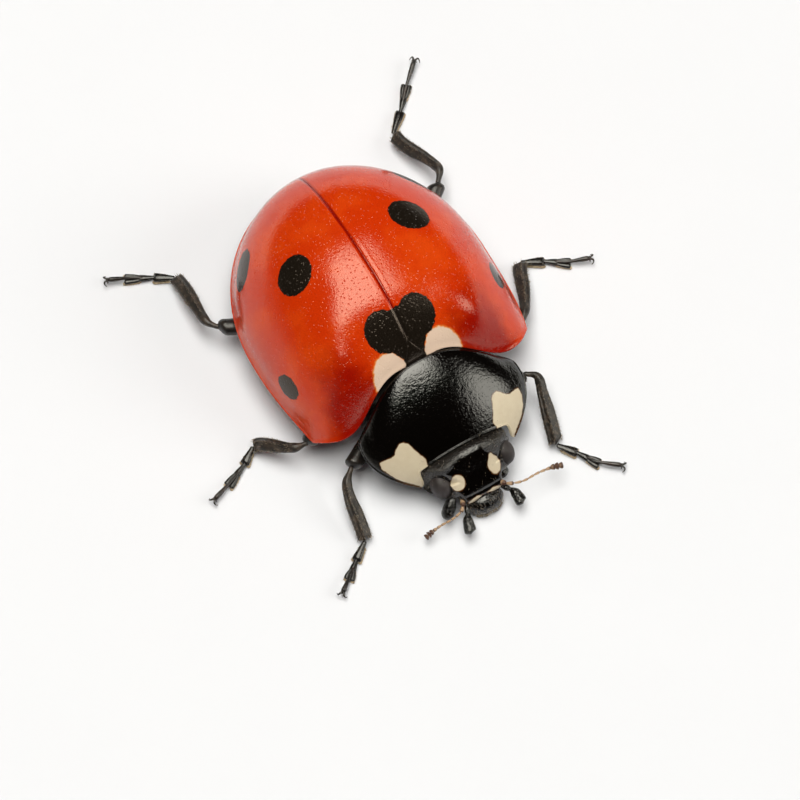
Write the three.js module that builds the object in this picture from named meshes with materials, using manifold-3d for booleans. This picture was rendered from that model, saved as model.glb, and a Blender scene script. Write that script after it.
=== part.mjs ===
// A seven-spot ladybird at life size, standing on its six feet.
// Millimetres. The insect faces -Y, its left side is +X, up is +Z and the floor is z = 0.
import * as THREE from "three";
import { mergeVertices } from "three/addons/utils/BufferGeometryUtils.js";
import Module from "manifold-3d";

const wasm = await Module();
wasm.setup();

// ---- driving dimensions ----
const GAP = 0.03; // clear space between neighbouring solids

// Wing cases: one dome, split along the midline.
const CASE_LENGTH = 5.29; // from the front on the midline to the tail
const CASE_HALF_WIDTH = 2.763;
const CASE_HEIGHT = 2.158; // of the dome above its rim
const RIM_HEIGHT = 0.957; // of the rim above the floor
const RIM_FRONT_DROP = 0.13; // the rim dips towards the shoulders
const WIDEST_AT = 0.393; // fractions of the length, from the front
const HIGHEST_AT = 0.387;
// The dome's curves: a superellipse behind its widest or highest place, a power curve before it.
const CASE_PLAN = { rearPower: 2.09, rearRoot: 0.506, narrowing: 0.072, frontPower: 2.33 };
const CASE_PROFILE = { rearPower: 2.22, rearRoot: 0.48, fall: 0.479, frontPower: 2.06 };
const CASE_ARCH = { power: 2.25, root: 0.555 }; // its curve from side to side
const RIM_DROP_FROM = 1.2; // y where the rim begins to dip
const RIM_DROP_OVER = 1.6;
const CASE_THICKNESS = 0.5;
const CASE_ROWS_CLOSER = 1.6; // how much closer the rows of the wing cases lie towards the tail
const SHOULDER_AT = 0.74; // fraction of the half width where the front edge reaches furthest forward
const SHOULDER_REACH = 0.48;
const SHOULDER_ROUND = 0.42;
const SHOULDER_SWELLING = new THREE.Vector3(1.5, 0.38, 0.19); // where it lies, and its height
const SWELLING_SPREAD = 0.3;
const CASE_FRONT = 0.12; // y of the front edge on the midline
const SCUTELLUM_HALF_WIDTH = 0.26;
const SCUTELLUM_LENGTH = 0.5;

// Pronotum: the shield over the front of the trunk.
const SHIELD_SHIFT = 0.072; // it sits a little towards the left side
const SHIELD_HALF_WIDTH = 1.887;
const SHIELD_WIDEST_Y = -0.842;
const SHIELD_FRONT_TAPER = 1.652; // distances over which the sides would close on the midline
const SHIELD_REAR_TAPER = 2.043;
const SHIELD_REAR = 0.076; // y of the rear edge on the midline
const SHIELD_REAR_SWEEP = 0.654;
const SHIELD_FRONT = -1.685;
const SHIELD_CORNER_REACH = 0.2; // how far the front corners come forward beside the head
const SHIELD_CROWN = 2.13;
const SHIELD_FALL = [0.22, 0.15]; // the midline's fall towards the head: its slope and its growth
const SHIELD_SIDE = 1.1; // height of the side edges at their widest
const SHIELD_SIDE_RISE = 0.273;
const SHIELD_SIDE_DROP = 0.126;
const SHIELD_CORNER = [0.72, 0.97]; // shares of the half width between which the corners come forward
const SHIELD_REAR_POWER = 2.6;
const SHIELD_ARCH = 0.8; // how the arch falls to the sides
const SHIELD_THICKNESS = 0.2;
const SHIELD_EDGE_THICKNESS = 0.35; // at its side edges, as a share

// Underside.
const BELLY_HEIGHT = 0.6; // lowest point of the trunk above the floor
const BELLY_RISE = 0.3; // how much higher its sides are
const LINING = CASE_THICKNESS + GAP;
const PROTHORAX_FRONT = -1.2;
const PROTHORAX_REAR = -0.5;
const PROTHORAX_SHARE = 0.8; // of the pronotum's width
const NECK_WIDTH = 0.62; // of the thorax's front end, as a share of the dome's width
const NECK_HEIGHT = 0.42;
const THORAX_FRONT = -0.3;
const WAIST = 2.5; // y between the thorax and the abdomen
const ABDOMEN_REAR = 4.6;

// Head, bent down to the floor.
const HEAD_CENTRE = new THREE.Vector3(0.02, -1.95, 0.86);
const HEAD_SIZE = new THREE.Vector3(0.97, 0.4, 0.82); // half width, half depth, half height
const HEAD_TILT = -0.71; // the face leans back, in radians
const EYE_CENTRES = {
  left: new THREE.Vector3(0.81, -2.1, 0.74),
  right: new THREE.Vector3(-0.68, -2.11, 0.76),
};
const EYE_SIZE = new THREE.Vector3(0.23, 0.25, 0.29); // half width, half depth, half height
const LABRUM_CENTRE = new THREE.Vector3(0.04, -2.8, 0.3);
const LABRUM_SIZE = new THREE.Vector3(0.38, 0.25, 0.25);

const THIN = 0.25; // half the thickness of every leg and feeler

// ---- shape functions ----
const raise = (x, p) => Math.pow(Math.min(Math.max(x, 0), 1), p);

// Half width of the wing cases at y.
function caseHalfWidth(y) {
  const t = y / CASE_LENGTH;
  if (t > WIDEST_AT)
    return (
      CASE_HALF_WIDTH *
      raise(1 - raise((t - WIDEST_AT) / (1 - WIDEST_AT), CASE_PLAN.rearPower), CASE_PLAN.rearRoot)
    );
  const ahead = (WIDEST_AT - t) / WIDEST_AT;
  return CASE_HALF_WIDTH * (1 - CASE_PLAN.narrowing * Math.pow(ahead, CASE_PLAN.frontPower));
}

// Height of the dome above its rim on the midline at y.
function caseCrown(y) {
  const t = y / CASE_LENGTH;
  if (t > HIGHEST_AT)
    return (
      CASE_HEIGHT *
      raise(1 - raise((t - HIGHEST_AT) / (1 - HIGHEST_AT), CASE_PROFILE.rearPower), CASE_PROFILE.rearRoot)
    );
  const ahead = (HIGHEST_AT - t) / HIGHEST_AT;
  return CASE_HEIGHT * (1 - CASE_PROFILE.fall * Math.pow(ahead, CASE_PROFILE.frontPower));
}

const archAcross = (u) => raise(1 - Math.pow(Math.abs(u), CASE_ARCH.power), CASE_ARCH.root);
const rimHeight = (y) =>
  RIM_HEIGHT - RIM_FRONT_DROP * Math.pow(Math.max(RIM_DROP_FROM - y, 0) / RIM_DROP_OVER, 2);

// Front edge of a wing case: forward to the shoulder, then round to the side.
function caseFrontEdge(u) {
  const inner = Math.sin((Math.PI / 2) * Math.min(u / SHOULDER_AT, 1));
  const outer = Math.max(0, (u - SHOULDER_AT) / (1 - SHOULDER_AT));
  return CASE_FRONT - SHOULDER_REACH * inner * inner + SHOULDER_ROUND * (1 - Math.sqrt(1 - outer * outer));
}

// A point of the dome, drawn in by a depth all over.
function domePoint(u, y, depth) {
  const inward = depth / CASE_HALF_WIDTH;
  const x = u * caseHalfWidth(y) * (1 - inward);
  const off = Math.hypot(Math.abs(x) - SHOULDER_SWELLING.x, y - SHOULDER_SWELLING.y);
  const swelling = SHOULDER_SWELLING.z * Math.exp((-off * off) / SWELLING_SPREAD);
  const z = rimHeight(y) + caseCrown(y) * (1 - depth / CASE_HEIGHT) * archAcross(u) + swelling;
  return new THREE.Vector3(x, y, z);
}

function shieldHalfWidth(y) {
  const front = raise((SHIELD_WIDEST_Y - y) / SHIELD_FRONT_TAPER, 2);
  const rear = raise((y - SHIELD_WIDEST_Y) / SHIELD_REAR_TAPER, 2);
  return SHIELD_HALF_WIDTH * (1 - front - rear);
}

const shieldFrontEdge = (s) =>
  SHIELD_FRONT - SHIELD_CORNER_REACH * THREE.MathUtils.smoothstep(Math.abs(s), ...SHIELD_CORNER);

const shieldRearEdge = (s) =>
  SHIELD_REAR - SHIELD_REAR_SWEEP * Math.pow(Math.abs(s), SHIELD_REAR_POWER);

// Height of the shield at s across and y along.
function shieldHeight(s, y) {
  const back = SHIELD_REAR - y;
  const crown = SHIELD_CROWN - SHIELD_FALL[0] * back - SHIELD_FALL[1] * Math.abs(back) * back;
  const ahead = Math.max(SHIELD_WIDEST_Y - y, 0);
  const side = SHIELD_SIDE + SHIELD_SIDE_RISE * (y - SHIELD_WIDEST_Y) - SHIELD_SIDE_DROP * ahead * ahead;
  return side + (crown - side) * raise(1 - s * s, SHIELD_ARCH);
}

// A point of the pronotum: s runs across from -1 to 1, t from its front edge to its rear one.
function shieldPoint(s, t, depth) {
  const y = THREE.MathUtils.lerp(shieldFrontEdge(s), shieldRearEdge(s), t);
  const steep = THREE.MathUtils.lerp(SHIELD_EDGE_THICKNESS, 1, raise(1 - s * s, 0.5));
  const across = s * shieldHalfWidth(y) * (1 - (0.6 * depth) / SHIELD_HALF_WIDTH);
  return new THREE.Vector3(SHIELD_SHIFT + across, y, shieldHeight(s, y) - depth * steep);
}

// ---- solids ----

// A plate: a box whose two faces follow place(u, v, side), side being 1 outside and 0 inside.
function plate(across, along, place) {
  const box = new THREE.BoxGeometry(1, 1, 1, across, along, 1);
  box.deleteAttribute("normal");
  box.deleteAttribute("uv");
  const solid = mergeVertices(box);
  const at = solid.getAttribute("position");
  for (let i = 0; i < at.count; i++) {
    const p = place(at.getX(i) + 0.5, at.getY(i) + 0.5, at.getZ(i) > 0 ? 1 : 0);
    at.setXYZ(i, p.x, p.y, p.z);
  }
  solid.computeVertexNormals();
  return solid;
}

// A limb: a cylinder drawn along a curve through points, with the half width and half height size(t).
function limb(points, size, sides, rings) {
  const curve = new THREE.CatmullRomCurve3(points, false, "catmullrom", 0.5);
  const tube = new THREE.CylinderGeometry(1, 1, 1, sides, rings);
  tube.deleteAttribute("normal");
  tube.deleteAttribute("uv");
  const solid = mergeVertices(tube);
  const at = solid.getAttribute("position");
  const up = new THREE.Vector3(0, 0, 1);
  for (let i = 0; i < at.count; i++) {
    const t = at.getY(i) + 0.5;
    const along = curve.getTangentAt(t);
    const side = new THREE.Vector3().crossVectors(along, up).normalize();
    const above = new THREE.Vector3().crossVectors(side, along);
    const [halfWidth, halfHeight] = size(t);
    const p = curve.getPointAt(t);
    p.addScaledVector(side, at.getX(i) * halfWidth);
    p.addScaledVector(above, at.getZ(i) * halfHeight);
    at.setXYZ(i, p.x, p.y, Math.max(p.z, 0));
  }
  solid.computeVertexNormals();
  return solid;
}

// A rounded body: a sphere whose points are moved by shape.
function rounded(columns, rows, shape) {
  const ball = new THREE.SphereGeometry(1, columns, rows);
  ball.deleteAttribute("normal");
  ball.deleteAttribute("uv");
  const solid = mergeVertices(ball);
  const at = solid.getAttribute("position");
  for (let i = 0; i < at.count; i++) {
    const p = shape(new THREE.Vector3(at.getX(i), at.getY(i), at.getZ(i)));
    at.setXYZ(i, p.x, p.y, p.z);
  }
  solid.computeVertexNormals();
  return solid;
}

// The same solid on the other side of the body, still facing out.
function mirrored(solid) {
  const other = solid.clone().scale(-1, 1, 1);
  const index = other.index.array;
  for (let i = 0; i < index.length; i += 3)
    [index[i + 1], index[i + 2]] = [index[i + 2], index[i + 1]];
  other.computeVertexNormals();
  return other;
}

function toManifold(solid) {
  return new wasm.Manifold(
    new wasm.Mesh({
      numProp: 3,
      vertProperties: new Float32Array(solid.getAttribute("position").array),
      triVerts: new Uint32Array(solid.index.array),
    }),
  );
}

// One solid with the others cut away from it.
function cutBy(solid, ...tools) {
  let rest = toManifold(solid);
  for (const tool of tools) rest = rest.subtract(toManifold(tool));
  const mesh = rest.getMesh();
  const left = new THREE.BufferGeometry();
  left.setAttribute("position", new THREE.BufferAttribute(mesh.vertProperties, 3));
  left.setIndex(new THREE.BufferAttribute(mesh.triVerts, 1));
  left.computeVertexNormals();
  return left;
}

// Where the pronotum's rear edge lies at a distance x from the midline on one side of the body.
function behindShield(x, way) {
  const s = (x - way * SHIELD_SHIFT) / SHIELD_HALF_WIDTH;
  return s < 1 ? shieldRearEdge(s) : -Infinity;
}

// One wing case, drawn on the left; way is 1 for the left one and -1 for the right one.
function wingCase(way) {
  return plate(13, 17, (u, v, side) => {
    const depth = side ? 0 : CASE_THICKNESS;
    const clear = behindShield(u * caseHalfWidth(0), way) + 1.5 * GAP;
    const front = Math.max(caseFrontEdge(u), clear) + (side ? 0 : 0.06);
    const rear = CASE_LENGTH - (side ? 0.002 : CASE_THICKNESS + 0.05);
    const y = rear - (rear - front) * Math.pow(1 - v, CASE_ROWS_CLOSER);
    const p = domePoint(u, y, depth);
    const notch = scutellumHalfWidth(y);
    const inner = GAP / 2 + notch;
    p.x = inner + u * Math.max(p.x / Math.max(u, 1e-6) - inner, 0.05);
    if (!u) p.x = inner;
    return p;
  });
}

// Half width of the room for the scutellum between the wing cases.
const scutellumHalfWidth = (y) =>
  SCUTELLUM_HALF_WIDTH * Math.max(0, 1 - (y - CASE_FRONT) / SCUTELLUM_LENGTH);

function scutellum() {
  return plate(2, 4, (u, v, side) => {
    const y = CASE_FRONT + v * 0.8 * SCUTELLUM_LENGTH;
    const p = domePoint(0, y, side ? 0.02 : 0.3);
    p.x = (2 * u - 1) * (scutellumHalfWidth(y) - GAP);
    return p;
  });
}

function pronotum() {
  return plate(24, 8, (u, v, side) => {
    const thick = SHIELD_THICKNESS * (0.45 + 0.55 * Math.min(v * 2.5, 1));
    return shieldPoint(2 * u - 1, v, side ? 0 : thick);
  });
}

// The underside of the body is lowest on the midline.
const bellyHeight = (s) => BELLY_HEIGHT + BELLY_RISE * Math.pow(Math.abs(s), 1.2);

// The room the pronotum takes up, with a gap round it and open above.
function shieldRoom() {
  return plate(24, 8, (u, v, side) => {
    const p = shieldPoint(2 * u - 1, v, side ? 0 : SHIELD_THICKNESS + GAP);
    p.y -= GAP * (1 - v);
    if (side) p.z += HEAD_SIZE.z;
    return p;
  });
}

function prothorax() {
  return plate(10, 4, (u, v, side) => {
    const s = 2 * u - 1;
    const y = THREE.MathUtils.lerp(PROTHORAX_FRONT, PROTHORAX_REAR, v);
    const top = shieldHeight(s * PROTHORAX_SHARE, y) - SHIELD_THICKNESS - GAP - 0.08 - 0.1 * Math.abs(s);
    const x = SHIELD_SHIFT + s * PROTHORAX_SHARE * shieldHalfWidth(y);
    return new THREE.Vector3(x, y, side ? top : bellyHeight(s) - 0.03);
  });
}

function trunk(front, rear, rows) {
  return plate(14, rows, (u, v, side) => {
    const s = 2 * u - 1;
    const y = THREE.MathUtils.lerp(front, rear, v);
    const p = domePoint(s, y, LINING + 0.07);
    const shoulder = THREE.MathUtils.smoothstep(y, THORAX_FRONT, 0.55);
    const low = rimHeight(y) - 0.02;
    if (side) p.z = low + (p.z - low) * THREE.MathUtils.lerp(NECK_HEIGHT, 1, shoulder) - GAP;
    else p.z = bellyHeight(s);
    p.x *= THREE.MathUtils.lerp(NECK_WIDTH, 1, shoulder);
    return p;
  });
}

function head() {
  const turn = new THREE.Euler(HEAD_TILT, 0, 0);
  return rounded(20, 12, (p) => {
    const flat = (x) => Math.sign(x) * Math.pow(Math.abs(x), 0.86);
    const q = new THREE.Vector3(flat(p.x), flat(p.y), flat(p.z));
    q.multiply(HEAD_SIZE);
    q.x *= 1 - 0.3 * Math.max(0, -q.z / HEAD_SIZE.z); // narrower towards the mouth
    return q.applyEuler(turn).add(HEAD_CENTRE);
  });
}

function eye(name, grown = 0) {
  const turn = new THREE.Euler(HEAD_TILT, 0, 0);
  return rounded(10, 6, (p) => {
    p.multiply(EYE_SIZE.clone().addScalar(grown)).applyEuler(turn).add(EYE_CENTRES[name]);
    return p;
  });
}

function labrum() {
  const square = (x) => Math.sign(x) * Math.pow(Math.abs(x), 0.75);
  return rounded(12, 8, (p) => {
    const q = new THREE.Vector3(square(p.x), square(p.y), square(p.z));
    return q.multiply(LABRUM_SIZE).add(LABRUM_CENTRE);
  });
}

// ---- limbs ----
const vec = (x, y, z) => new THREE.Vector3(x, y, z);

// How far a limb must start beyond a bent joint to clear the limb before it.
function setback(before, joint, after) {
  const a = joint.clone().sub(before).normalize();
  const b = after.clone().sub(joint).normalize();
  return THIN * Math.tan(a.angleTo(b) / 2) + GAP;
}

function beyond(before, joint, after) {
  const way = after.clone().sub(joint).normalize();
  return joint.clone().addScaledVector(way, setback(before, joint, after));
}

// Each leg: hip, thigh under the rim, knee, shin, ankle, two toe joints and the tips of the claws.
const LEGS = {
  front_left: [
    vec(0.6, -0.85, 0.33), vec(1.5, -0.9, 0.48), vec(2.14, -0.9, 0.68),
    vec(2.32, -1.35, 0.72), vec(1.94, -2.38, 0.3),
    vec(2.23, -2.75, 0.2), vec(2.57, -3.12, 0.2), vec(2.96, -3.46, 0.2),
  ],
  front_right: [
    vec(-0.6, -0.85, 0.33), vec(-1.5, -0.88, 0.48), vec(-2.12, -0.86, 0.68),
    vec(-2.42, -1.4, 0.66), vec(-2.59, -2.13, 0.3),
    vec(-2.94, -2.44, 0.2), vec(-3.3, -2.73, 0.2), vec(-3.58, -3.02, 0.2),
  ],
  middle_left: [
    vec(0.75, 0.75, 0.33), vec(1.9, 0.62, 0.5), vec(2.78, 0.46, 0.62),
    vec(3.1, 0.9, 0.6), vec(3.33, 1.54, 0.3),
    vec(3.95, 1.37, 0.2), vec(4.45, 1.05, 0.2), vec(4.87, 1.08, 0.2),
  ],
  middle_right: [
    vec(-0.75, 0.75, 0.33), vec(-1.8, 0.4, 0.48), vec(-2.66, 0.05, 0.58),
    vec(-3.05, 0.36, 0.52), vec(-3.53, 0.78, 0.3),
    vec(-3.98, 0.58, 0.2), vec(-4.46, 0.38, 0.2), vec(-4.9, 0.23, 0.2),
  ],
  hind_left: [
    vec(0.9, 2.45, 0.33), vec(1.9, 3.15, 0.5), vec(2.68, 3.78, 0.64),
    vec(2.86, 4.5, 0.62), vec(2.59, 5.45, 0.3),
    vec(3.04, 6.02, 0.2), vec(3.49, 6.49, 0.2), vec(3.98, 6.83, 0.2),
  ],
  hind_right: [
    vec(-0.9, 2.45, 0.33), vec(-2.0, 2.9, 0.5), vec(-2.98, 3.27, 0.64),
    vec(-3.2, 4.0, 0.6), vec(-3.08, 4.9, 0.3),
    vec(-3.46, 5.4, 0.2), vec(-4.0, 5.57, 0.2), vec(-4.31, 5.78, 0.2),
  ],
};

const barrel = (halfWidth, halfHeight) => (t) => {
  const swell = 0.86 + 0.14 * Math.sin(Math.PI * t);
  return [halfWidth * swell, halfHeight * swell];
};

function femur([hip, thigh, knee]) {
  return limb([hip, thigh, knee], barrel(THIN, THIN), 9, 5);
}

function tibia([, thigh, knee, shin, ankle]) {
  return limb([beyond(thigh, knee, shin), shin, ankle], barrel(THIN, THIN), 9, 5);
}

const flatFooted = (t) => [THIN * (0.9 + 0.1 * Math.sin(Math.PI * t)), 0.36];

function tarsus([, , , shin, ankle, toe, lobe]) {
  const start = beyond(shin, ankle, toe);
  start.z = toe.z;
  return limb([start, toe, lobe], flatFooted, 10, 4);
}

function claws([, , , , , toe, lobe, tip]) {
  return limb([beyond(toe, lobe, tip), tip], flatFooted, 10, 2);
}

function antenna(side) {
  const base = vec(side * 0.68, -2.82, 0.95);
  const bend = vec(side * 1.05, -2.93, 0.84);
  const tip = side > 0 ? vec(1.82, -2.98, 0.7) : vec(-1.52, -2.84, 0.5);
  return limb([base, bend, tip], barrel(THIN, THIN), 8, 5);
}

function palp(side) {
  const root = vec(side * 0.72, -2.5, 0.29);
  return limb([root, vec(side * 0.74, -3.0, 0.27)], barrel(0.27, 0.27), 8, 3);
}

// ---- the model ----
const GLOSSY_BLACK = { color: 0x0d0b0a, roughness: 0.3 };
const SATIN_BLACK = { color: 0x15110f, roughness: 0.5 };

const part = new THREE.Group();

function add(name, solid, finish) {
  const mesh = new THREE.Mesh(
    solid,
    new THREE.MeshStandardMaterial({ metalness: 0, flatShading: true, ...finish }),
  );
  mesh.name = name;
  part.add(mesh);
}

const RED = { color: 0xc42a0b, roughness: 0.25 };
add("elytron_left", wingCase(1), RED);
add("elytron_right", mirrored(wingCase(-1)), RED);
add("scutellum", scutellum(), GLOSSY_BLACK);
add("pronotum", pronotum(), GLOSSY_BLACK);
add("prothorax", prothorax(), SATIN_BLACK);
add("thorax", trunk(THORAX_FRONT, WAIST, 8), SATIN_BLACK);
add("abdomen", trunk(WAIST + GAP, ABDOMEN_REAR, 6), SATIN_BLACK);
add("head", cutBy(head(), eye("left", GAP), eye("right", GAP), shieldRoom()), GLOSSY_BLACK);
add("labrum", labrum(), SATIN_BLACK);

for (const [name, side] of [["left", 1], ["right", -1]]) {
  add(`eye_${name}`, eye(name), { color: 0x1b1a1a, roughness: 0.2 });
  add(`antenna_${name}`, antenna(side), { color: 0x6b4632, roughness: 0.55 });
  add(`palp_${name}`, palp(side), SATIN_BLACK);
}

for (const [name, joints] of Object.entries(LEGS)) {
  add(`femur_${name}`, femur(joints), SATIN_BLACK);
  add(`tibia_${name}`, tibia(joints), SATIN_BLACK);
  add(`tarsus_${name}`, tarsus(joints), SATIN_BLACK);
  add(`claws_${name}`, claws(joints), { color: 0x2a1a12, roughness: 0.4 });
}

// The origin is on the floor below the middle of the whole model.
part.updateMatrixWorld(true);
const box = new THREE.Box3().setFromObject(part, true);
part.position.set(-(box.min.x + box.max.x) / 2, -(box.min.y + box.max.y) / 2, -box.min.z);

export default part;
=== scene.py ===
import math
import random

import bmesh
import bpy
from mathutils import Matrix, Vector


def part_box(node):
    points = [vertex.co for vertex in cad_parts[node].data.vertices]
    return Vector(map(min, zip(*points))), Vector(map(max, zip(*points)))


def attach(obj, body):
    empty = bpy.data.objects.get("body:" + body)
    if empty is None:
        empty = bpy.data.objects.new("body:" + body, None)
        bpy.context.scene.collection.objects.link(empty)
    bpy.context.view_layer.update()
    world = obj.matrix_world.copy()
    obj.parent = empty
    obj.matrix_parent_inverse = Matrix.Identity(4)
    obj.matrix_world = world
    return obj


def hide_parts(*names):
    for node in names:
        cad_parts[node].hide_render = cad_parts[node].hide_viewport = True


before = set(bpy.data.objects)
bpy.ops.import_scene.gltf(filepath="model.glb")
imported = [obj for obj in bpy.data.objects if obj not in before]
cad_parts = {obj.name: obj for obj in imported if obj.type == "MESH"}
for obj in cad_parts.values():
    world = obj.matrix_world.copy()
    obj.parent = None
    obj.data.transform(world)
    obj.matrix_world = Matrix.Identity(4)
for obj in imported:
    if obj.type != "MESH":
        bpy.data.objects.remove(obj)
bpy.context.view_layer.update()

MM = 0.001
LEFT = 1
RIGHT = -1
SIDES = {"left": LEFT, "right": RIGHT}
UP = Vector((0, 0, 1))

# ---- wing cases: one dome, split along the midline ----
CASE_LENGTH = 5.29
CASE_REAR = 5.288
CASE_HALF_WIDTH = 2.763
CASE_HEIGHT = 2.158
RIM_HEIGHT = 0.957
RIM_FRONT_DROP = 0.13
WIDEST_AT = 0.393
HIGHEST_AT = 0.387
SHOULDER_AT = 0.74
SHOULDER_REACH = 0.48
SHOULDER_ROUND = 0.42
CASE_FRONT = 0.12
CASE_PLAN_REAR = (2.09, 0.506)  # how the plan closes behind its widest place: power and root
CASE_PLAN_FRONT = (0.072, 2.33)  # how much it narrows ahead of that place, and by what power
CASE_CROWN_REAR = (2.22, 0.48)  # the same for the height, behind the highest place
CASE_CROWN_FRONT = (0.479, 2.06)  # and ahead of it
CASE_ARCH = (2.25, 0.555)  # the dome's cross section: power and root
CASE_MIDDLE_Y = 2.1  # where the dome's plan is widest
CASE_INSIDE = Vector((0.9, 2.2, 0.8))  # a place inside the left wing case
RIM_DROP_FROM = 1.2  # ahead of here the rim bends down
RIM_DROP_LENGTH = 1.6
FLARE = 0.055  # how far the rim stands out from the wall above it
FLARE_RISE = 0.15  # the flare begins this far above the rim
FLARE_FADE = 0.9  # and dies away over this height
FRONT_DROP = 0.05  # how far the front edge bends down
FRONT_DROP_LENGTH = 0.06  # over this length
CALLUS_HEIGHT = 0.19  # the swelling on each shoulder
CALLUS_AT = (1.5, 0.38)
CALLUS_SPREAD = 0.3
SHOULDER_LEAN = 0.045  # both shoulders sit a little towards the left side
SEAM_GAP = 0.004  # half the slit between the two cases
SEAM_WIDTH = 0.2  # the fine strip of the mesh along the slit
SEAM_WIDTH_SHARE = 0.3  # and at most this share of the case's width
SEAM_SHARE = 0.14  # of the columns across a wing case lie in that strip
SEAM_WALL = 0.14  # how deep the slit's own wall goes
GROOVE_HALF_WIDTH = 0.036
GROOVE_DEPTH = 0.017
GROOVE_EDGE = 0.012
GROOVE_FRONT = (0.45, 0.7)  # where along the seam the groove begins
GROOVE_TAIL = (5.28, 5.0)  # and where it ends
BEAD_AT = 0.12  # a fine bead runs beside the groove
BEAD_WIDTH = 0.03
BEAD_HEIGHT = 0.0025
SCUTELLUM_HALF_WIDTH = 0.26
SCUTELLUM_LENGTH = 0.36
SCUTELLUM_LAP = 0.02  # how far it runs on under the shield
SCUTELLUM_GAP = 0.01  # between it and the wing cases
SCUTELLUM_THICKNESS = 0.08
SHELL_THICKNESS = 0.022

# ---- pronotum: the shield over the front of the trunk ----
SHIELD_SHIFT = 0.072  # it sits a little towards the left side
SHIELD_HALF_WIDTH = 1.887
SHIELD_WIDEST_Y = -0.842
SHIELD_FRONT_TAPER = 1.652
SHIELD_FRONT_POWER = 2.011
SHIELD_REAR_TAPER = 2.043
SHIELD_ARCH = 0.8  # the root of its cross section
SHIELD_REAR = 0.076
SHIELD_REAR_SWEEP = 0.654
SHIELD_SWEEP_POWER = 2.612
SHIELD_FRONT = -1.685
SHIELD_CORNER_REACH = 0.2
SHIELD_CROWN = 2.13
SHIELD_FALL = (0.22, 0.15)
SHIELD_SIDE = 1.1
SHIELD_SIDE_RISE = 0.273
SHIELD_SIDE_DROP = 0.126
SHIELD_LIFT = 0.05  # how far its rear edge stands above the wing cases
SHIELD_HOLD = 0.35  # how far in from the rear edge that is felt
SHIELD_HOLD_SIDE = 0.12  # the share at each side where it fades out
SHIELD_EDGE_DROP = 0.025  # the rear edge itself bends down a little
SHIELD_EDGE_LENGTH = 0.05
SHIELD_INSIDE = Vector((0, -0.9, 0.9))

# ---- head: a face that slopes from under the shield down to the mouth ----
FACE_TOP = Vector((0.04, -1.87, 1.42))
FACE_DOWN = Vector((0, -0.652, -0.758))
FACE_OUT = Vector((0, -0.758, 0.652))
HEAD_HALF_WIDTH = {LEFT: 0.975, RIGHT: 1.05}
# The head's own levels: how far down the face, and how far out of it.
HEAD_BACK = -0.5
HEAD_MIDDLE = 0.46
FACE_EDGE = 1.33
FACE_LEVEL = 0.03
HEAD_CORE = -0.34
HEAD_CHIN = -0.78
BROW = 0.22  # above here the face bends back to the crown
BROW_LENGTH = 0.52
BROW_BEND = (0.72, 1.7)  # how far back, and by what power
CLYPEUS_AT = 1.06  # the fine groove above the mouth
# Each eye lies at (across, down the face, out of the face) and looks along its own way.
EYE_AT = {LEFT: Vector((0.77, 0.67, -0.27)), RIGHT: Vector((-0.74, 0.66, -0.25))}
EYE_WAY = {LEFT: Vector((0.85, 0, 0.53)), RIGHT: Vector((-0.75, 0, 0.66))}
EYE_RADII = Vector((0.23, 0.29, 0.25))
SOCKET_RADIUS = 0.25
SOCKET_WALL = (1.16, 0.84)  # where the socket's wall begins and ends, in its radii
SOCKET_DEPTH = 0.03  # how far the socket is sunk behind the eye's middle
SOCKET_RING = (1.13, 0.08, 0.03)  # the raised ring round it: place and width in radii, and height
SOCKET_SHEEN = (1.16, 0.14)  # the dull zone round it, rougher and painted with a grey sheen: place and width in radii


def smooth(low, high, x):
    """0 below low, 1 above high, and a smooth step between."""
    t = min(max((x - low) / (high - low), 0), 1)
    return t * t * (3 - 2 * t)


def raised(x, power):
    """A power of x, with x held between 0 and 1."""
    return min(max(x, 0), 1) ** power


def raised_signed(x, power):
    """A power of the size of x, with the sign of x."""
    return math.copysign(abs(x) ** power, x)


def bump(x, centre, width):
    """A rounded bump, 1 at its centre."""
    return math.exp(-(((x - centre) / width) ** 2))


def within_one(x):
    return max(-1, min(1, x))


# ---- placing and finishing pieces ----
def body_origin():
    """The insect's own origin in the frame: on the floor and the midline."""
    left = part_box("elytron_left")[1]
    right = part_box("elytron_right")[0]
    return Vector(((left.x + right.x) / 2, left.y - CASE_REAR * MM, 0))


ORIGIN = body_origin()
TO_FRAME = Matrix.Translation(ORIGIN) @ Matrix.Scale(MM, 4)


def finished(name, bm, material, slot, *nodes):
    """Makes the piece from a bmesh in millimetres and puts it in the frame."""
    mesh = bpy.data.meshes.new(name)
    bm.to_mesh(mesh)
    bm.free()
    mesh.transform(TO_FRAME)
    mesh.shade_smooth()
    mesh.materials.append(material)
    piece = bpy.data.objects.new(name, mesh)
    bpy.context.scene.collection.objects.link(piece)
    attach(piece, "root")
    if nodes:
        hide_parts(*nodes)
    return piece


def closed(bm):
    """Merges poles and seams and turns every face outwards."""
    bmesh.ops.remove_doubles(bm, verts=bm.verts, dist=1e-4)
    bmesh.ops.recalc_face_normals(bm, faces=bm.faces)
    return bm


def face_away(bm, centre):
    """Turns an open sheet's faces away from a point inside it."""
    away = sum((f.calc_center_median() - centre).dot(f.normal) for f in bm.faces)
    if away < 0:
        bmesh.ops.reverse_faces(bm, faces=bm.faces)


def shelled(piece, thickness):
    """Gives an open shell its wall, inwards."""
    wall = piece.modifiers.new("wall", "SOLIDIFY")
    wall.thickness = thickness * MM
    wall.offset = -1


# ---- materials ----
def node(tree, kind, inputs=(), **settings):
    """A node with its settings, and its inputs set to a value or linked to another node's socket."""
    made = tree.nodes.new(kind)
    for name, value in settings.items():
        setattr(made, name, value)
    for key, value in dict(inputs).items():
        if isinstance(value, bpy.types.NodeSocket):
            tree.links.new(value, made.inputs[key])
        else:
            made.inputs[key].default_value = value
    return made


def math_node(tree, operation, a, b):
    return node(tree, "ShaderNodeMath", {0: a, 1: b}, operation=operation).outputs[0]


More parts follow.
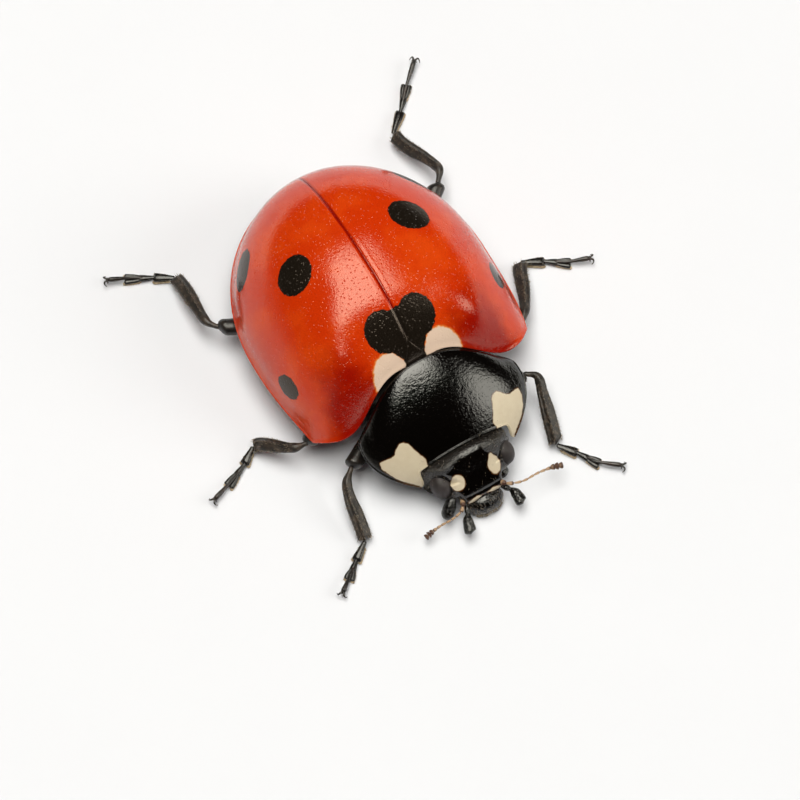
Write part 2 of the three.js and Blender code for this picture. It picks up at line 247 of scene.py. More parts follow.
def plus(tree, a, b):
    return math_node(tree, "ADD", a, b)


def times(tree, a, b):
    return math_node(tree, "MULTIPLY", a, b)


def colour(rgb):
    return (*rgb, 1)


def mixed(tree, amount, first, second):
    """A colour between two, each a value or a socket."""
    values = {0: amount}
    for key, value in ((6, first), (7, second)):
        values[key] = value if isinstance(value, bpy.types.NodeSocket) else colour(value)
    return node(tree, "ShaderNodeMix", values, data_type="RGBA").outputs[2]


def stepped(tree, value, low, high, to_low=0.0, to_high=1.0):
    """A smooth step: to_low at low and to_high at high."""
    values = {0: value, 1: low, 2: high, 3: to_low, 4: to_high}
    return node(tree, "ShaderNodeMapRange", values, interpolation_type="SMOOTHSTEP").outputs[0]


def place_of(tree):
    return node(tree, "ShaderNodeTexCoord").outputs["Object"]


CLOUD_ROUGHNESS = 0.55


def cloudy(tree, size, detail=3.0):
    """Noise whose blotches are about size millimetres across."""
    scale = 1 / (size * MM)
    values = {"Vector": place_of(tree), "Scale": scale, "Detail": detail, "Roughness": CLOUD_ROUGHNESS}
    return node(tree, "ShaderNodeTexNoise", values).outputs[0]


def cells(tree, size):
    """Distance pattern of cells about size millimetres apart."""
    values = {"Vector": place_of(tree), "Scale": 1 / (size * MM)}
    return node(tree, "ShaderNodeTexVoronoi", values, feature="F1").outputs[0]


def ragged(tree, reach, size, depth):
    """A mark's distance made uneven, so that its edge is ragged."""
    return plus(tree, reach, times(tree, math_node(tree, "SUBTRACT", cloudy(tree, size), 0.5), depth))


def relief(tree, height, depth, after=None):
    """A bump of the given depth in millimetres, on top of another."""
    values = {"Height": height, "Distance": depth * MM, "Strength": 1.0}
    if after is not None:
        values["Normal"] = after
    return node(tree, "ShaderNodeBump", values).outputs[0]


def new_material(name):
    material = bpy.data.materials.new(name)
    material.use_nodes = True
    tree = material.node_tree
    tree.nodes.clear()
    return material, tree


def output(tree, base, normal, roughness, coat=0.0, coat_roughness=0.1, level=0.5, gleam=(1, 1, 1)):
    """The finish's shader: level and gleam are the strength and the tint of its shine."""
    values = {
        "Base Color": base,
        "Normal": normal,
        "Roughness": roughness,
        "Coat Weight": coat,
        "Coat Roughness": coat_roughness,
        "Specular IOR Level": level,
        "Specular Tint": (*gleam, 1),
    }
    shader = node(tree, "ShaderNodeBsdfPrincipled", values)
    node(tree, "ShaderNodeOutputMaterial", {"Surface": shader.outputs[0]})


def mark(tree, name):
    """A mark that the piece's mesh carries at its vertices."""
    return node(tree, "ShaderNodeAttribute", attribute_name=name).outputs["Fac"]


ORANGE_RED = (0.55, 0.030, 0.0013)
LIGHT_RED = (0.63, 0.053, 0.0035)
# painted shade: the deeper red of the forward-falling shoulders and of the seam's groove
SHADED_RED = (0.29, 0.005, 0.0007)
SPOT_BLACK = (0.009, 0.0065, 0.0045)
DEEP_BLACK = (0.0015, 0.001, 0.0008)
CREAM = (0.63, 0.55, 0.42)
PINK_CREAM = (0.74, 0.56, 0.45)
AMBER = (0.75, 0.26, 0.05)
CREAM_SHADE = (0.55, 0.46, 0.33)
CREAM_EDGE = (0.09, 0.035, 0.012)
# painted sheen: the grey-brown of the dull zones stands in for their reflections
SHEEN_GREY = (0.026, 0.021, 0.018)
CREAM_DULLNESS = 0.35  # how much rougher the cream marks are than the black shell round them
DULL_ROUGHNESS = 0.06  # how much rougher the dull places are
EYE_BLACK = (0.011, 0.007, 0.006)
# painted sheen: grey blotches that stand in for the eyes' reflections
EYE_SHEEN_GREY = (0.036, 0.028, 0.03)
FEELER_TAN = (0.43, 0.28, 0.17)
FEELER_DARK = (0.07, 0.027, 0.015)


def wing_case_finish():
    """Orange-red, with painted shade in deeper red at the shoulders and along the seam, black spots and two
    cream patches, finely pitted.
    """
    material, tree = new_material("wing_case_red")
    drift = cloudy(tree, 1.1, 4.0)
    red = mixed(tree, stepped(tree, drift, 0.42, 0.7), ORANGE_RED, LIGHT_RED)
    # painted shade: the shoulder and seam mark, with random blotches, turns the red deeper
    shade = plus(tree, mark(tree, "shoulder"), times(tree, cloudy(tree, 0.5, 4.0), 0.8))
    red = mixed(tree, stepped(tree, shade, 0.6, 1.35), red, SHADED_RED)
    cream_reach = ragged(tree, mark(tree, "cream"), 0.09, 0.07)
    red = mixed(tree, stepped(tree, cream_reach, 0.045, -0.01), red, AMBER)
    skin = mixed(tree, stepped(tree, cream_reach, 0.012, -0.02), red, PINK_CREAM)
    black_reach = ragged(tree, mark(tree, "black"), 0.09, 0.07)
    spot = stepped(tree, black_reach, 0.01, -0.01)
    skin = mixed(tree, spot, skin, SPOT_BLACK)
    swell = relief(tree, cloudy(tree, 0.5, 2.0), 0.007)
    pits = stepped(tree, cells(tree, 0.07), 0.04, 0.32)
    fine = relief(tree, pits, 0.0046, swell)
    crinkle = relief(tree, cloudy(tree, 0.045, 3.0), 0.0036, fine)
    rough = stepped(tree, spot, 0.0, 1.0, 0.12, 0.2)
    output(tree, skin, crinkle, rough, level=0.6, gleam=(1, 0.82, 0.68))
    return material


def black_shell_finish(name, roughness, pit, pit_depth, wrinkle):
    """Glossy black with duller cream marks, finely pitted and scuffed; the dull zones are rougher and
    creased, and painted with a grey-brown sheen.
    pit is the pits' spacing, and wrinkle the depth of the fine wrinkles."""
    material, tree = new_material(name)
    reach = ragged(tree, mark(tree, "cream"), 0.08, 0.04)
    cream = mixed(tree, cloudy(tree, 0.15), CREAM, CREAM_SHADE)
    dull = times(tree, mark(tree, "dull"), stepped(tree, cloudy(tree, 0.05, 4.0), 0.3, 0.7))
    # painted sheen: the dull zones turn from black to grey-brown
    black = mixed(tree, dull, DEEP_BLACK, SHEEN_GREY)
    edged = mixed(tree, stepped(tree, reach, 0.025, 0.0), black, CREAM_EDGE)
    patch = stepped(tree, reach, 0.006, -0.012)
    skin = mixed(tree, patch, edged, cream)
    swell = relief(tree, cloudy(tree, 0.35, 2.0), 0.004)
    pits = relief(tree, stepped(tree, cells(tree, pit), 0.0, 0.45), pit_depth, swell)
    wrinkled = relief(tree, cloudy(tree, 0.07, 4.0), wrinkle, pits)
    creases = times(tree, cloudy(tree, 0.04, 2.0), mark(tree, "dull"))
    creased = relief(tree, creases, 0.034, wrinkled)
    dull_roughness = stepped(tree, mark(tree, "dull"), 0.0, 1.0, roughness, roughness + DULL_ROUGHNESS)
    rough = plus(tree, dull_roughness, times(tree, patch, CREAM_DULLNESS))
    output(tree, skin, creased, rough, level=0.7)
    return material


def eye_finish():
    """Black with a painted grey sheen in random blotches, made of hundreds of fine facets."""
    material, tree = new_material("faceted_eye")
    sheen_blotches = cloudy(tree, 0.3, 2.0)
    base = mixed(tree, stepped(tree, sheen_blotches, 0.3, 0.7), EYE_BLACK, EYE_SHEEN_GREY)
    facets = relief(tree, cells(tree, 0.022), 0.003)
    output(tree, base, facets, 0.55)
    return material


def limb_finish(name, dark, light, roughness, grain=0.006):
    """Satin black horn with browner blotches at random, and a fine skin texture."""
    material, tree = new_material(name)
    base = mixed(tree, stepped(tree, cloudy(tree, 0.12, 4.0), 0.4, 0.72), dark, light)
    rough_skin = relief(tree, cloudy(tree, 0.05, 4.0), grain)
    pits = relief(tree, cells(tree, 0.03), grain * 0.5, rough_skin)
    output(tree, base, pits, roughness, coat=0.15, coat_roughness=0.2)
    return material


def feeler_finish():
    """Tan with dark rings at the joints, and a dark reddish club."""
    material, tree = new_material("feeler_tan")
    shade = plus(tree, mark(tree, "ring"), times(tree, cloudy(tree, 0.05), 0.3))
    tan = mixed(tree, stepped(tree, shade, 0.3, 1.0), FEELER_TAN, FEELER_DARK)
    output(tree, tan, relief(tree, cloudy(tree, 0.03, 3.0), 0.005), 0.42)
    return material


def plain_hair_finish(name, light, dark):
    """Matt horn between a light and a dark tone."""
    material, tree = new_material(name)
    base = mixed(tree, stepped(tree, cloudy(tree, 0.08), 0.35, 0.65), light, dark)
    output(tree, base, relief(tree, cloudy(tree, 0.02), 0.001), 0.5)
    return material


RED_SHELL = wing_case_finish()
BLACK_SHELL = black_shell_finish("black_shell", 0.11, 0.05, 0.0015, 0.0055)
BLACK_HEAD = black_shell_finish("black_head", 0.12, 0.05, 0.0015, 0.002)
BLACK_LIP = black_shell_finish("black_lip", 0.16, 0.055, 0.014, 0.013)
EYE = eye_finish()
BLACK_LEG = limb_finish("black_leg", (0.005, 0.004, 0.0035), (0.022, 0.016, 0.012), 0.34)
BROWN_LEG = limb_finish("brown_leg", (0.010, 0.007, 0.0055), (0.06, 0.04, 0.028), 0.42, 0.008)
GLOSSY_LEG = limb_finish("glossy_leg", (0.004, 0.003, 0.003), (0.012, 0.008, 0.006), 0.22, 0.003)
BELLY = limb_finish("black_belly", (0.006, 0.005, 0.004), (0.018, 0.012, 0.009), 0.42)
CLAW = limb_finish("claw_black", (0.006, 0.004, 0.003), (0.03, 0.013, 0.007), 0.25, 0.003)
PAD = plain_hair_finish("pale_pad", (0.62, 0.50, 0.33), (0.36, 0.26, 0.16))
FEELER = feeler_finish()
PALE_HAIR = plain_hair_finish("pale_hair", (0.34, 0.28, 0.2), (0.17, 0.12, 0.08))


# ---- smooth lines and limbs ----
class Path:
    """A smooth line through points, read by the fraction of its length."""

    def __init__(self, *points, steps=16):
        knots = [Vector(p) for p in points]
        knots = [2 * knots[0] - knots[1], *knots, 2 * knots[-1] - knots[-2]]
        self.spots = [knots[1]]
        for before, start, end, after in zip(knots, knots[1:], knots[2:], knots[3:]):
            for k in range(1, steps + 1):
                t = k / steps
                self.spots.append(
                    0.5
                    * (
                        2 * start
                        + (end - before) * t
                        + (2 * before - 5 * start + 4 * end - after) * t**2
                        + (3 * start - before - 3 * end + after) * t**3
                    )
                )
        self.run = [0.0]
        for a, b in zip(self.spots, self.spots[1:]):
            self.run.append(self.run[-1] + (b - a).length)
        self.length = self.run[-1]

    def at(self, t):
        """The point at a fraction of the length, and the way the line runs there."""
        far = min(max(t, 0), 1) * self.length
        k = 1
        while k < len(self.run) - 1 and self.run[k] < far:
            k += 1
        share = (far - self.run[k - 1]) / max(self.run[k] - self.run[k - 1], 1e-9)
        point = self.spots[k - 1].lerp(self.spots[k], share)
        ahead = self.spots[min(k + 1, len(self.spots) - 1)] - self.spots[max(k - 2, 0)]
        return point, ahead.normalized()


def rounded_end(t, near, far):
    """Closes a limb's ends: 0 at its tips and 1 beyond the rounded lengths near and far."""
    a = min(t / near, 1) if near else 1
    b = min((1 - t) / far, 1) if far else 1
    return math.sqrt(max(1 - (1 - a) ** 2, 0)) * math.sqrt(max(1 - (1 - b) ** 2, 0))


class Limb:
    """A closed limb along a path: size(t, a) gives its half width and half height at a share t
    of its length and an angle a round it."""

    def __init__(self, path, size, slant=0.0, notch=0.0):
        self.path = path
        self.size = size
        self.slant = slant  # share of the length that the far end is cut back on one side
        self.notch = notch  # share of the length that the far end is cut back in its middle

    def point(self, t, a):
        cut = self.slant * (1 - math.cos(a)) / 2 + self.notch * math.sin(a) ** 2
        centre, ahead = self.path.at(t * (1 - cut * smooth(0.6, 1.0, t)))
        side = ahead.cross(UP).normalized()
        above = side.cross(ahead)
        half_width, half_height = self.size(t, a)
        return centre + side * (math.cos(a) * half_width) + above * (math.sin(a) * half_height)

    def outward(self, t, a):
        """The way a hair grows from the surface: out and towards the tip."""
        centre, ahead = self.path.at(t)
        return (self.point(t, a) - centre).normalized(), ahead

    def draw(self, bm, around, along):
        made = bmesh.ops.create_uvsphere(bm, u_segments=around, v_segments=along, radius=1)["verts"]
        for v in made:
            t = math.acos(within_one(-v.co.z)) / math.pi
            v.co = self.point(t, math.atan2(v.co.y, v.co.x))
        return made


EVENING_ROUNDS = 8  # how often the ways out of an edge are averaged with their neighbours


def turned_under(bm, edges, profile, reach):
    """Extrudes an open edge step by step. profile lists how far out and how far up each step goes from
    the edge, and reach(point) scales the inward steps."""
    out_way = bm.verts.layers.float_vector.new("out_way")
    start = bm.verts.layers.float_vector.new("start")
    rim = set(edges)
    for v in {v for e in edges for v in e.verts}:
        along = Vector((0, 0, 0))
        away = Vector((0, 0, 0))
        for e in v.link_edges:
            if e in rim:
                other = e.other_vert(v)
                step = other.co - v.co
                along = along + (step if step.dot(along) >= 0 else -step)
            else:
                away = away + (v.co - e.other_vert(v).co)
        way = along.cross(UP)
        if way.dot(away) < 0:
            way.negate()
        way.z = 0
        v[out_way] = way.normalized()
        v[start] = v.co
    for _ in range(EVENING_ROUNDS):
        evened = {}
        for v in {v for e in edges for v in e.verts}:
            near = [Vector(e.other_vert(v)[out_way]) for e in v.link_edges if e in rim]
            evened[v] = (sum(near, Vector((0, 0, 0))) + Vector(v[out_way]) * 2).normalized()
        for v, way in evened.items():
            v[out_way] = way
    for out, up in profile:
        made = bmesh.ops.extrude_edge_only(bm, edges=edges)["geom"]
        edges = [g for g in made if isinstance(g, bmesh.types.BMEdge)]
        for v in (g for g in made if isinstance(g, bmesh.types.BMVert)):
            base = Vector(v[start])
            scale = reach(base) if out < 0 else 1
            v.co = base + Vector(v[out_way]) * (out * scale) + UP * (up * scale)
    for name in ("out_way", "start"):
        bm.verts.layers.float_vector.remove(bm.verts.layers.float_vector[name])


# ---- wing cases ----
def swept(t, peak, rear, front):
    """1 at its peak: behind it closes by a power and a root, ahead it shrinks by a share and a power."""
    if t > peak:
        power, root = rear
        return raised(1 - raised((t - peak) / (1 - peak), power), root)
    share, power = front
    return 1 - share * ((peak - t) / peak) ** power


def case_half_width(y):
    return CASE_HALF_WIDTH * swept(y / CASE_LENGTH, WIDEST_AT, CASE_PLAN_REAR, CASE_PLAN_FRONT)


def case_crown(y):
    """How high the dome stands above its rim along the midline."""
    return CASE_HEIGHT * swept(y / CASE_LENGTH, HIGHEST_AT, CASE_CROWN_REAR, CASE_CROWN_FRONT)


def case_arch(across):
    """The dome's cross section: 1 on the midline and 0 at the rim."""
    power, root = CASE_ARCH
    return raised(1 - raised(across, power), root)


def case_top(x, y):
    """Height of the wing cases' dome at a place, carried on in front of their edge."""
    return rim_height(y) + case_crown(y) * case_arch(abs(x) / case_half_width(y))


def rim_height(y):
    return RIM_HEIGHT - RIM_FRONT_DROP * (max(RIM_DROP_FROM - y, 0) / RIM_DROP_LENGTH) ** 2


def case_front_edge(u):
    """Where the front edge lies at u across: it runs forward to the shoulder and rounds off to the side."""
    inner = math.sin(math.pi / 2 * min(u / SHOULDER_AT, 1))
    outer = min(max(0, (u - SHOULDER_AT) / (1 - SHOULDER_AT)), 1)
    return CASE_FRONT - SHOULDER_REACH * inner**2 + SHOULDER_ROUND * (1 - math.sqrt(1 - outer**2))


def seam_at(y):
    """Half the gap between the wing cases: a slit that opens round the scutellum."""
    share = min(max(1 - (y - CASE_FRONT) / SCUTELLUM_LENGTH, 0), 1)
    return SEAM_GAP + SCUTELLUM_HALF_WIDTH * share


def case_point(across, along):
    """A point of the left wing case: across from the seam to the rim, along from the front to the tail."""
    k = (across - SEAM_SHARE) / (1 - SEAM_SHARE)
    column = math.sin(math.pi / 2 * max(k, 0))
    front = case_front_edge(column)
    y = CASE_REAR - (CASE_REAR - front) * (1 - along) ** 2
    half = case_half_width(y)
    inner = seam_at(y)
    strip = min(SEAM_WIDTH, SEAM_WIDTH_SHARE * max(half - inner, 0))
    if k < 0:
        from_seam = strip * (across / SEAM_SHARE)
    else:
        from_seam = strip + max(half - inner - strip, 0) * column
    x = inner + from_seam
    above_rim = case_crown(y) * case_arch(x / max(half, 1e-6))
    z = rim_height(y) + above_rim
    away = Vector((x, y - CASE_MIDDLE_Y, 0)).normalized()
    pinch = FLARE * (1 - math.exp(-((above_rim / FLARE_RISE) ** 2))) * math.exp(-above_rim / FLARE_FADE)
    z -= FRONT_DROP * math.exp(-(y - front) / FRONT_DROP_LENGTH) * smooth(0.95, 0.6, column)
    z += CALLUS_HEIGHT * math.exp(-((x - CALLUS_AT[0]) ** 2 + (y - CALLUS_AT[1]) ** 2) / CALLUS_SPREAD)
    fade = smooth(*GROOVE_TAIL, y) * smooth(*GROOVE_FRONT, y)
    groove = smooth(GROOVE_HALF_WIDTH + GROOVE_EDGE, GROOVE_HALF_WIDTH - GROOVE_EDGE, from_seam)
    z -= GROOVE_DEPTH * groove * fade
    z += BEAD_HEIGHT * bump(from_seam, BEAD_AT, BEAD_WIDTH) * fade
    return Vector((x, y, z)) - away * pinch


def oval(p, centre, long_way, long_radius, short_radius):
    """Signed distance, about, to an oval whose long axis runs a given way: below 0 inside."""
    way = Vector(long_way).normalized()
    d = p - Vector(centre)
    along = d.dot(way)
    aside = (d - way * along).length
    return (math.hypot(along / long_radius, aside / short_radius) - 1) * short_radius


# The three spots of each wing case: middle, the way of its long axis, and its long and short radius.
SIDE_SPOTS = (
    ((1.38, 2.79, 2.80), (0.74, -0.61, -0.27), 0.46, 0.385),
    ((2.53, 1.10, 1.62), (0.05, 1.0, 0.0), 0.31, 0.25),
    ((2.08, 3.84, 1.77), (0.59, -0.68, -0.32), 0.47, 0.30),
)
# The shared spot's half on each wing case: a round lobe, a stem along the seam and a foot at its front end.
LOBE_AT = Vector((0.40, 0.80))
LOBE_RADIUS = 0.395
STEM_WIDTH = 0.24
STEM_REAR = 1.09
FOOT_REAR = 0.55
# The cream patch outside the foot: an oval cut off by a slanting line.
PATCH_AT = (0.6, 0.0)
PATCH_RADII = (0.42, 0.44)
PATCH_CUT_AT = (0.2, 0.15)
PATCH_CUT_WAY = (-0.77, 0.64)


def black_distance(p):
    """How far a point of the left wing case is outside its black marks."""
    lobe = (Vector((p.x, p.y)) - LOBE_AT).length - LOBE_RADIUS
    stem = max(p.x - STEM_WIDTH, p.y - STEM_REAR)
    foot = max(-beside_cream(p), p.y - FOOT_REAR)
    return min(lobe, stem, foot, *(oval(p, *spot) for spot in SIDE_SPOTS))


def beside_cream(p):
    """How far a point lies towards the seam from the cream patch's inner edge."""
    return PATCH_CUT_WAY[0] * (p.x - PATCH_CUT_AT[0]) + PATCH_CUT_WAY[1] * (p.y - PATCH_CUT_AT[1])


def cream_distance(p):
    """How far it is outside the cream patch beside the front end of the seam."""
    across = (p.x - PATCH_AT[0]) / PATCH_RADII[0]
    along = (p.y - PATCH_AT[1]) / PATCH_RADII[1]
    return max((math.hypot(across, along) - 1) * sum(PATCH_RADII) / 2, beside_cream(p))


def painted_shoulder_shade(p):
    """How much painted shade deepens the red: over the shoulder, where it falls away forwards, and in a fine
    line in the seam's groove.
    """
    over = smooth(2.1, -0.3, p.y) * smooth(0.3, 1.6, p.x) * (1 - 0.7 * smooth(1.8, 2.4, p.x))
    return over + 0.9 * smooth(0.05, 0.025, p.x)


def wing_case(name, side):
    """One wing case with its rolled rim. The right one is the left one's mirror image."""
    bm = bmesh.new()
    bmesh.ops.create_grid(bm, x_segments=92, y_segments=124, size=1)
    black = bm.verts.layers.float.new("black")
    cream = bm.verts.layers.float.new("cream")
    shoulder = bm.verts.layers.float.new("shoulder")
    for v in bm.verts:
        v.co = case_point((v.co.x + 1) / 2, (v.co.y + 1) / 2)
        v[black] = within_one(black_distance(v.co))
        v[cream] = within_one(cream_distance(v.co))
        v[shoulder] = painted_shoulder_shade(v.co)
    bmesh.ops.remove_doubles(bm, verts=bm.verts, dist=1e-3)
    rim = []
    seam = []
    for e in bm.edges:
        if e.is_boundary:
            near = all(v.co.x < seam_at(v.co.y) + 2e-3 for v in e.verts)
            run = e.verts[0].co - e.verts[1].co
            lengthways = abs(run.y) > abs(run.x) * 0.5
            (seam if near and lengthways else rim).append(e)
    turned_under(bm, rim, RIM_PROFILE, under_reach)
    drop_seam(bm, seam)
    face_away(bm, CASE_INSIDE)
    if side == RIGHT:
        bmesh.ops.scale(bm, vec=(-1, 1, 1), verts=bm.verts)
        bmesh.ops.reverse_faces(bm, faces=bm.faces)
    for v in bm.verts:
        v.co.x += SHOULDER_LEAN * smooth(1.8, 0.2, v.co.y) * smooth(1.9, 0.9, v.co.z)
    case = finished(f"wing_case_{name}", bm, RED_SHELL, "wing_case", f"elytron_{name}")
    shelled(case, SHELL_THICKNESS)


# How the rim rolls over a bead and then runs inwards under the body: (out, up) from the edge.
RIM_PROFILE = (
    (0.018, -0.008), (0.03, -0.028), (0.024, -0.052), (0.004, -0.066),
    (-0.06, -0.075), (-0.16, -0.10), (-0.28, -0.11), (-0.42, -0.07),
)


def under_reach(p):
    """How wide the turned-under strip is at a point of the edge, as a share of its widest."""
    side = smooth(0.7, 1.0, p.x / max(case_half_width(p.y), 1e-6))
    return 0.25 + 0.75 * side * smooth(5.0, 3.4, p.y)


def drop_seam(bm, edges):
    """The slit's own wall, straight down from the seam."""
    made = bmesh.ops.extrude_edge_only(bm, edges=edges)["geom"]
    low = [g for g in made if isinstance(g, bmesh.types.BMVert)]
    bmesh.ops.translate(bm, vec=(0, 0, -SEAM_WALL), verts=low)


def scutellum():
    """The small triangle between the front ends of the wing cases."""
    bm = bmesh.new()
    bmesh.ops.create_grid(bm, x_segments=16, y_segments=16, size=1)
    cream = bm.verts.layers.float.new("cream")
    black = bm.verts.layers.float.new("black")
    for v in bm.verts:
        s = v.co.x
        y = CASE_FRONT - SCUTELLUM_LAP + (SCUTELLUM_LENGTH + SCUTELLUM_LAP) * (v.co.y + 1) / 2
        half = max(seam_at(y) - SEAM_GAP - SCUTELLUM_GAP, 0.003)
        dip = FRONT_DROP * math.exp(-max(y - CASE_FRONT, 0) / FRONT_DROP_LENGTH)
        top = rim_height(y) + case_crown(y) - dip
        v.co = Vector((s * half, y, top + 0.004 - 0.02 * s**4))
        v[cream] = 1
        v[black] = -1
    face_away(bm, Vector((0, 0.4, 1)))
    plate = finished("scutellum_plate", bm, RED_SHELL, "black_shell", "scutellum")
    shelled(plate, SCUTELLUM_THICKNESS)


# ---- pronotum ----
def shield_half_width(y):
    front = raised((SHIELD_WIDEST_Y - y) / SHIELD_FRONT_TAPER, SHIELD_FRONT_POWER)
    rear = raised((y - SHIELD_WIDEST_Y) / SHIELD_REAR_TAPER, 2)
    return SHIELD_HALF_WIDTH * (1 - front - rear)


def shield_height(s, y):
    """Height of the shield's plain arch at s across and y along."""
    back = SHIELD_REAR - y
    crown = SHIELD_CROWN - SHIELD_FALL[0] * back - SHIELD_FALL[1] * abs(back) * back
    ahead = max(SHIELD_WIDEST_Y - y, 0)
    side = SHIELD_SIDE + SHIELD_SIDE_RISE * (y - SHIELD_WIDEST_Y) - SHIELD_SIDE_DROP * ahead**2
    return side + (crown - side) * raised(1 - s * s, SHIELD_ARCH)


def shield_edges(s):
    """Where the shield's front and rear edges lie along the body at s across."""
    far = abs(s)
    front = SHIELD_FRONT - SHIELD_CORNER_REACH * smooth(0.72, 0.97, far)
    return front, SHIELD_REAR - SHIELD_REAR_SWEEP * far**SHIELD_SWEEP_POWER


def shield_surface(s, y):
    """Height of the shield at s across and y along, its rear edge held close over the wing cases."""
    rear = shield_edges(s)[1]
    lap = case_top(s * shield_half_width(rear), rear) + SHIELD_LIFT - shield_height(s, rear)
    hold = math.exp(-(rear - y) / SHIELD_HOLD) * min((1 - abs(s)) / SHIELD_HOLD_SIDE, 1)
    return shield_height(s, y) + lap * hold - SHIELD_EDGE_DROP * math.exp(-(rear - y) / SHIELD_EDGE_LENGTH)


def shield_point(s, t):
    """A point of the shield: s across from -1 to 1, t from its front edge to its rear one."""
    front, rear = shield_edges(s)
    y = front + (rear - front) * t
    return Vector((SHIELD_SHIFT + s * shield_half_width(y), y, shield_surface(s, y)))


HEAD_ROOM = 0.09  # how far the head stays below the shield
HEAD_RISE = 0.9  # how steeply it comes out from under the shield's front edge
HEAD_EASE = 0.06  # how gently it is pressed down there


def under_shield(p):
    """A point of the head, pressed down where it would come through the shield."""
    s = min(max((p.x - SHIELD_SHIFT) / max(shield_half_width(p.y), 0.3), -1), 1)
    front, rear = shield_edges(s)
    roof = shield_surface(s, min(max(p.y, front), rear)) - HEAD_ROOM + HEAD_RISE * max(front - p.y, 0)
    gap = p.z - roof
    if gap > -HEAD_EASE:
        p.z = roof - HEAD_EASE * math.exp(-(gap + HEAD_EASE) / HEAD_EASE)
    return p


CREAM_SHIFT = 0.045  # both corners sit a little towards the left side
CREAM_BORDER = (0.012, 0.045)  # the black border outside them: its width in front, and what it gains behind
# The cream corner of the shield, left side, as (x, y) corners round it.
CREAM_CORNER = (
    (1.08, -1.12), (1.17, -1.1), (1.26, -1.14), (1.34, -1.21), (1.43, -1.22), (1.56, -1.18), (1.67, -1.16),
    (1.69, -1.28), (1.58, -1.55), (1.42, -1.74), (1.24, -2.0), (1.02, -2.0), (0.93, -1.82), (0.84, -1.7),
    (0.81, -1.6), (0.89, -1.45), (0.96, -1.3), (1.01, -1.19),
)


def inside_distance(x, y, corners):
    """Signed distance to a polygon: below 0 inside."""
    nearest = 9.0
    inside = False
    for (ax, ay), (bx, by) in zip(corners, (*corners[1:], corners[0])):
        ex, ey = bx - ax, by - ay
        share = min(max(((x - ax) * ex + (y - ay) * ey) / (ex * ex + ey * ey), 0), 1)
        nearest = min(nearest, math.hypot(x - ax - share * ex, y - ay - share * ey))
        if (ay > y) != (by > y) and x < ax + (y - ay) * ex / ey:
            inside = not inside
    return -nearest if inside else nearest


def shield():
    """The pronotum: an arched plate with cream front corners and an edge that turns under."""
    bm = bmesh.new()
    bmesh.ops.create_grid(bm, x_segments=150, y_segments=64, size=1)
    cream = bm.verts.layers.float.new("cream")
    for v in bm.verts:
        v.co = shield_point(math.sin(math.pi / 2 * v.co.x), (v.co.y + 1) / 2)
        patch = inside_distance(abs(v.co.x - CREAM_SHIFT), v.co.y, CREAM_CORNER)
        border = CREAM_BORDER[0] + CREAM_BORDER[1] * smooth(-1.65, -1.3, v.co.y)
        margin = abs(v.co.x - SHIELD_SHIFT) - shield_half_width(v.co.y) + border
        v[cream] = within_one(max(patch, margin))
    rim = [e for e in bm.edges if e.is_boundary]
    turned_under(bm, rim, SHIELD_PROFILE, shield_reach)
    face_away(bm, SHIELD_INSIDE)
    plate = finished("shield", bm, BLACK_SHELL, "black_shell", "pronotum")
    shelled(plate, SHELL_THICKNESS)


def shield_reach(p):
    """How wide the turned-under strip is at a point of the shield's edge, as a share of its widest."""
    return 0.12 + 0.88 * smooth(-1.55, -1.0, p.y) * smooth(0.9, 1.5, abs(p.x))


# How the shield's edge rolls over and runs inwards: (out, up) from the edge.
SHIELD_PROFILE = (
    (0.014, 0.004), (0.026, -0.01), (0.024, -0.034), (0.006, -0.05),
    (-0.05, -0.07), (-0.14, -0.1), (-0.26, -0.11),
)


# ---- trunk ----
TRUNK_LEVEL = 0.85  # the height of the trunk's middle line
RIB_STEP = 0.018


def belly_limb(front, rear, half_width, top, bottom, ribs):
    """A closed body along Y: wide, flat above and rounded below, with rib steps across its underside."""
    path = Path(*((0, y, TRUNK_LEVEL) for y in (front, (front + rear) / 2, rear)))

    def size(t, a):
        y = front + (rear - front) * t
        step = RIB_STEP * ((t * ribs) % 1)
        low = math.sin(a) < 0
        height = (TRUNK_LEVEL - bottom + step) if low else (top - TRUNK_LEVEL)
        ends = rounded_end(t, 0.08, 0.16)
        return half_width(y) * ends, height * ends

    return Limb(path, size)


BELLY_LIMBS = (
    belly_limb(2.35, 4.95, lambda y: case_half_width(y) * 0.9, 1.1, 0.5, 5),
    belly_limb(-0.15, 2.55, lambda y: 1.6 + 0.8 * smooth(-0.1, 1.2, y), 1.3, 0.47, 2),
    belly_limb(-1.6, 0.1, lambda y: 1.5 - 0.4 * smooth(-0.9, -1.6, y), 1.52, 0.5, 0),
)


def trunk():
    """The closed body under the wing cases and the shield, in three parts."""
    names = (("ventrites", "abdomen"), ("sternum", "thorax"), ("prosternum", "prothorax"))
    for limb, (name, solid), along in zip(BELLY_LIMBS, names, (90, 60, 36)):
        bm = bmesh.new()
        for v in limb.draw(bm, 56, along):
            if name == "prosternum":
                v.co = under_shield(v.co)
        finished(name, closed(bm), BELLY, "underside", solid)


# ---- head ----
def on_face(across, down, out):
    """A point given from the top of the face: across, down it and out of it."""
    return FACE_TOP + Vector((across, 0, 0)) + FACE_DOWN * down + FACE_OUT * out


def head_outline(a):
    """How far down the face the head reaches at a from the midline."""
    return FACE_EDGE - 0.26 * smooth(0.38, 0.56, a) - 0.12 * smooth(0.56, 0.93, a)


def face_relief(a, down):
    """How far the face stands out at a from the midline: more lower down, with a fine groove above the mouth,
    a rim below that and a hollow at each feeler's root."""
    tilt = 0.06 * smooth(0.55, 1.1, down) * smooth(0.62, 0.5, a)
    groove = 0.008 * bump(down, CLYPEUS_AT - 0.1 * a * a, 0.025) * smooth(0.44, 0.36, a)
    rim = 0.02 * bump(down, 1.17, 0.07) * smooth(0.5, 0.4, a)
    hollow = 0.06 * bump(a, 0.53, 0.05) * bump(down, 1.03, 0.1)
    return tilt - groove + rim - hollow


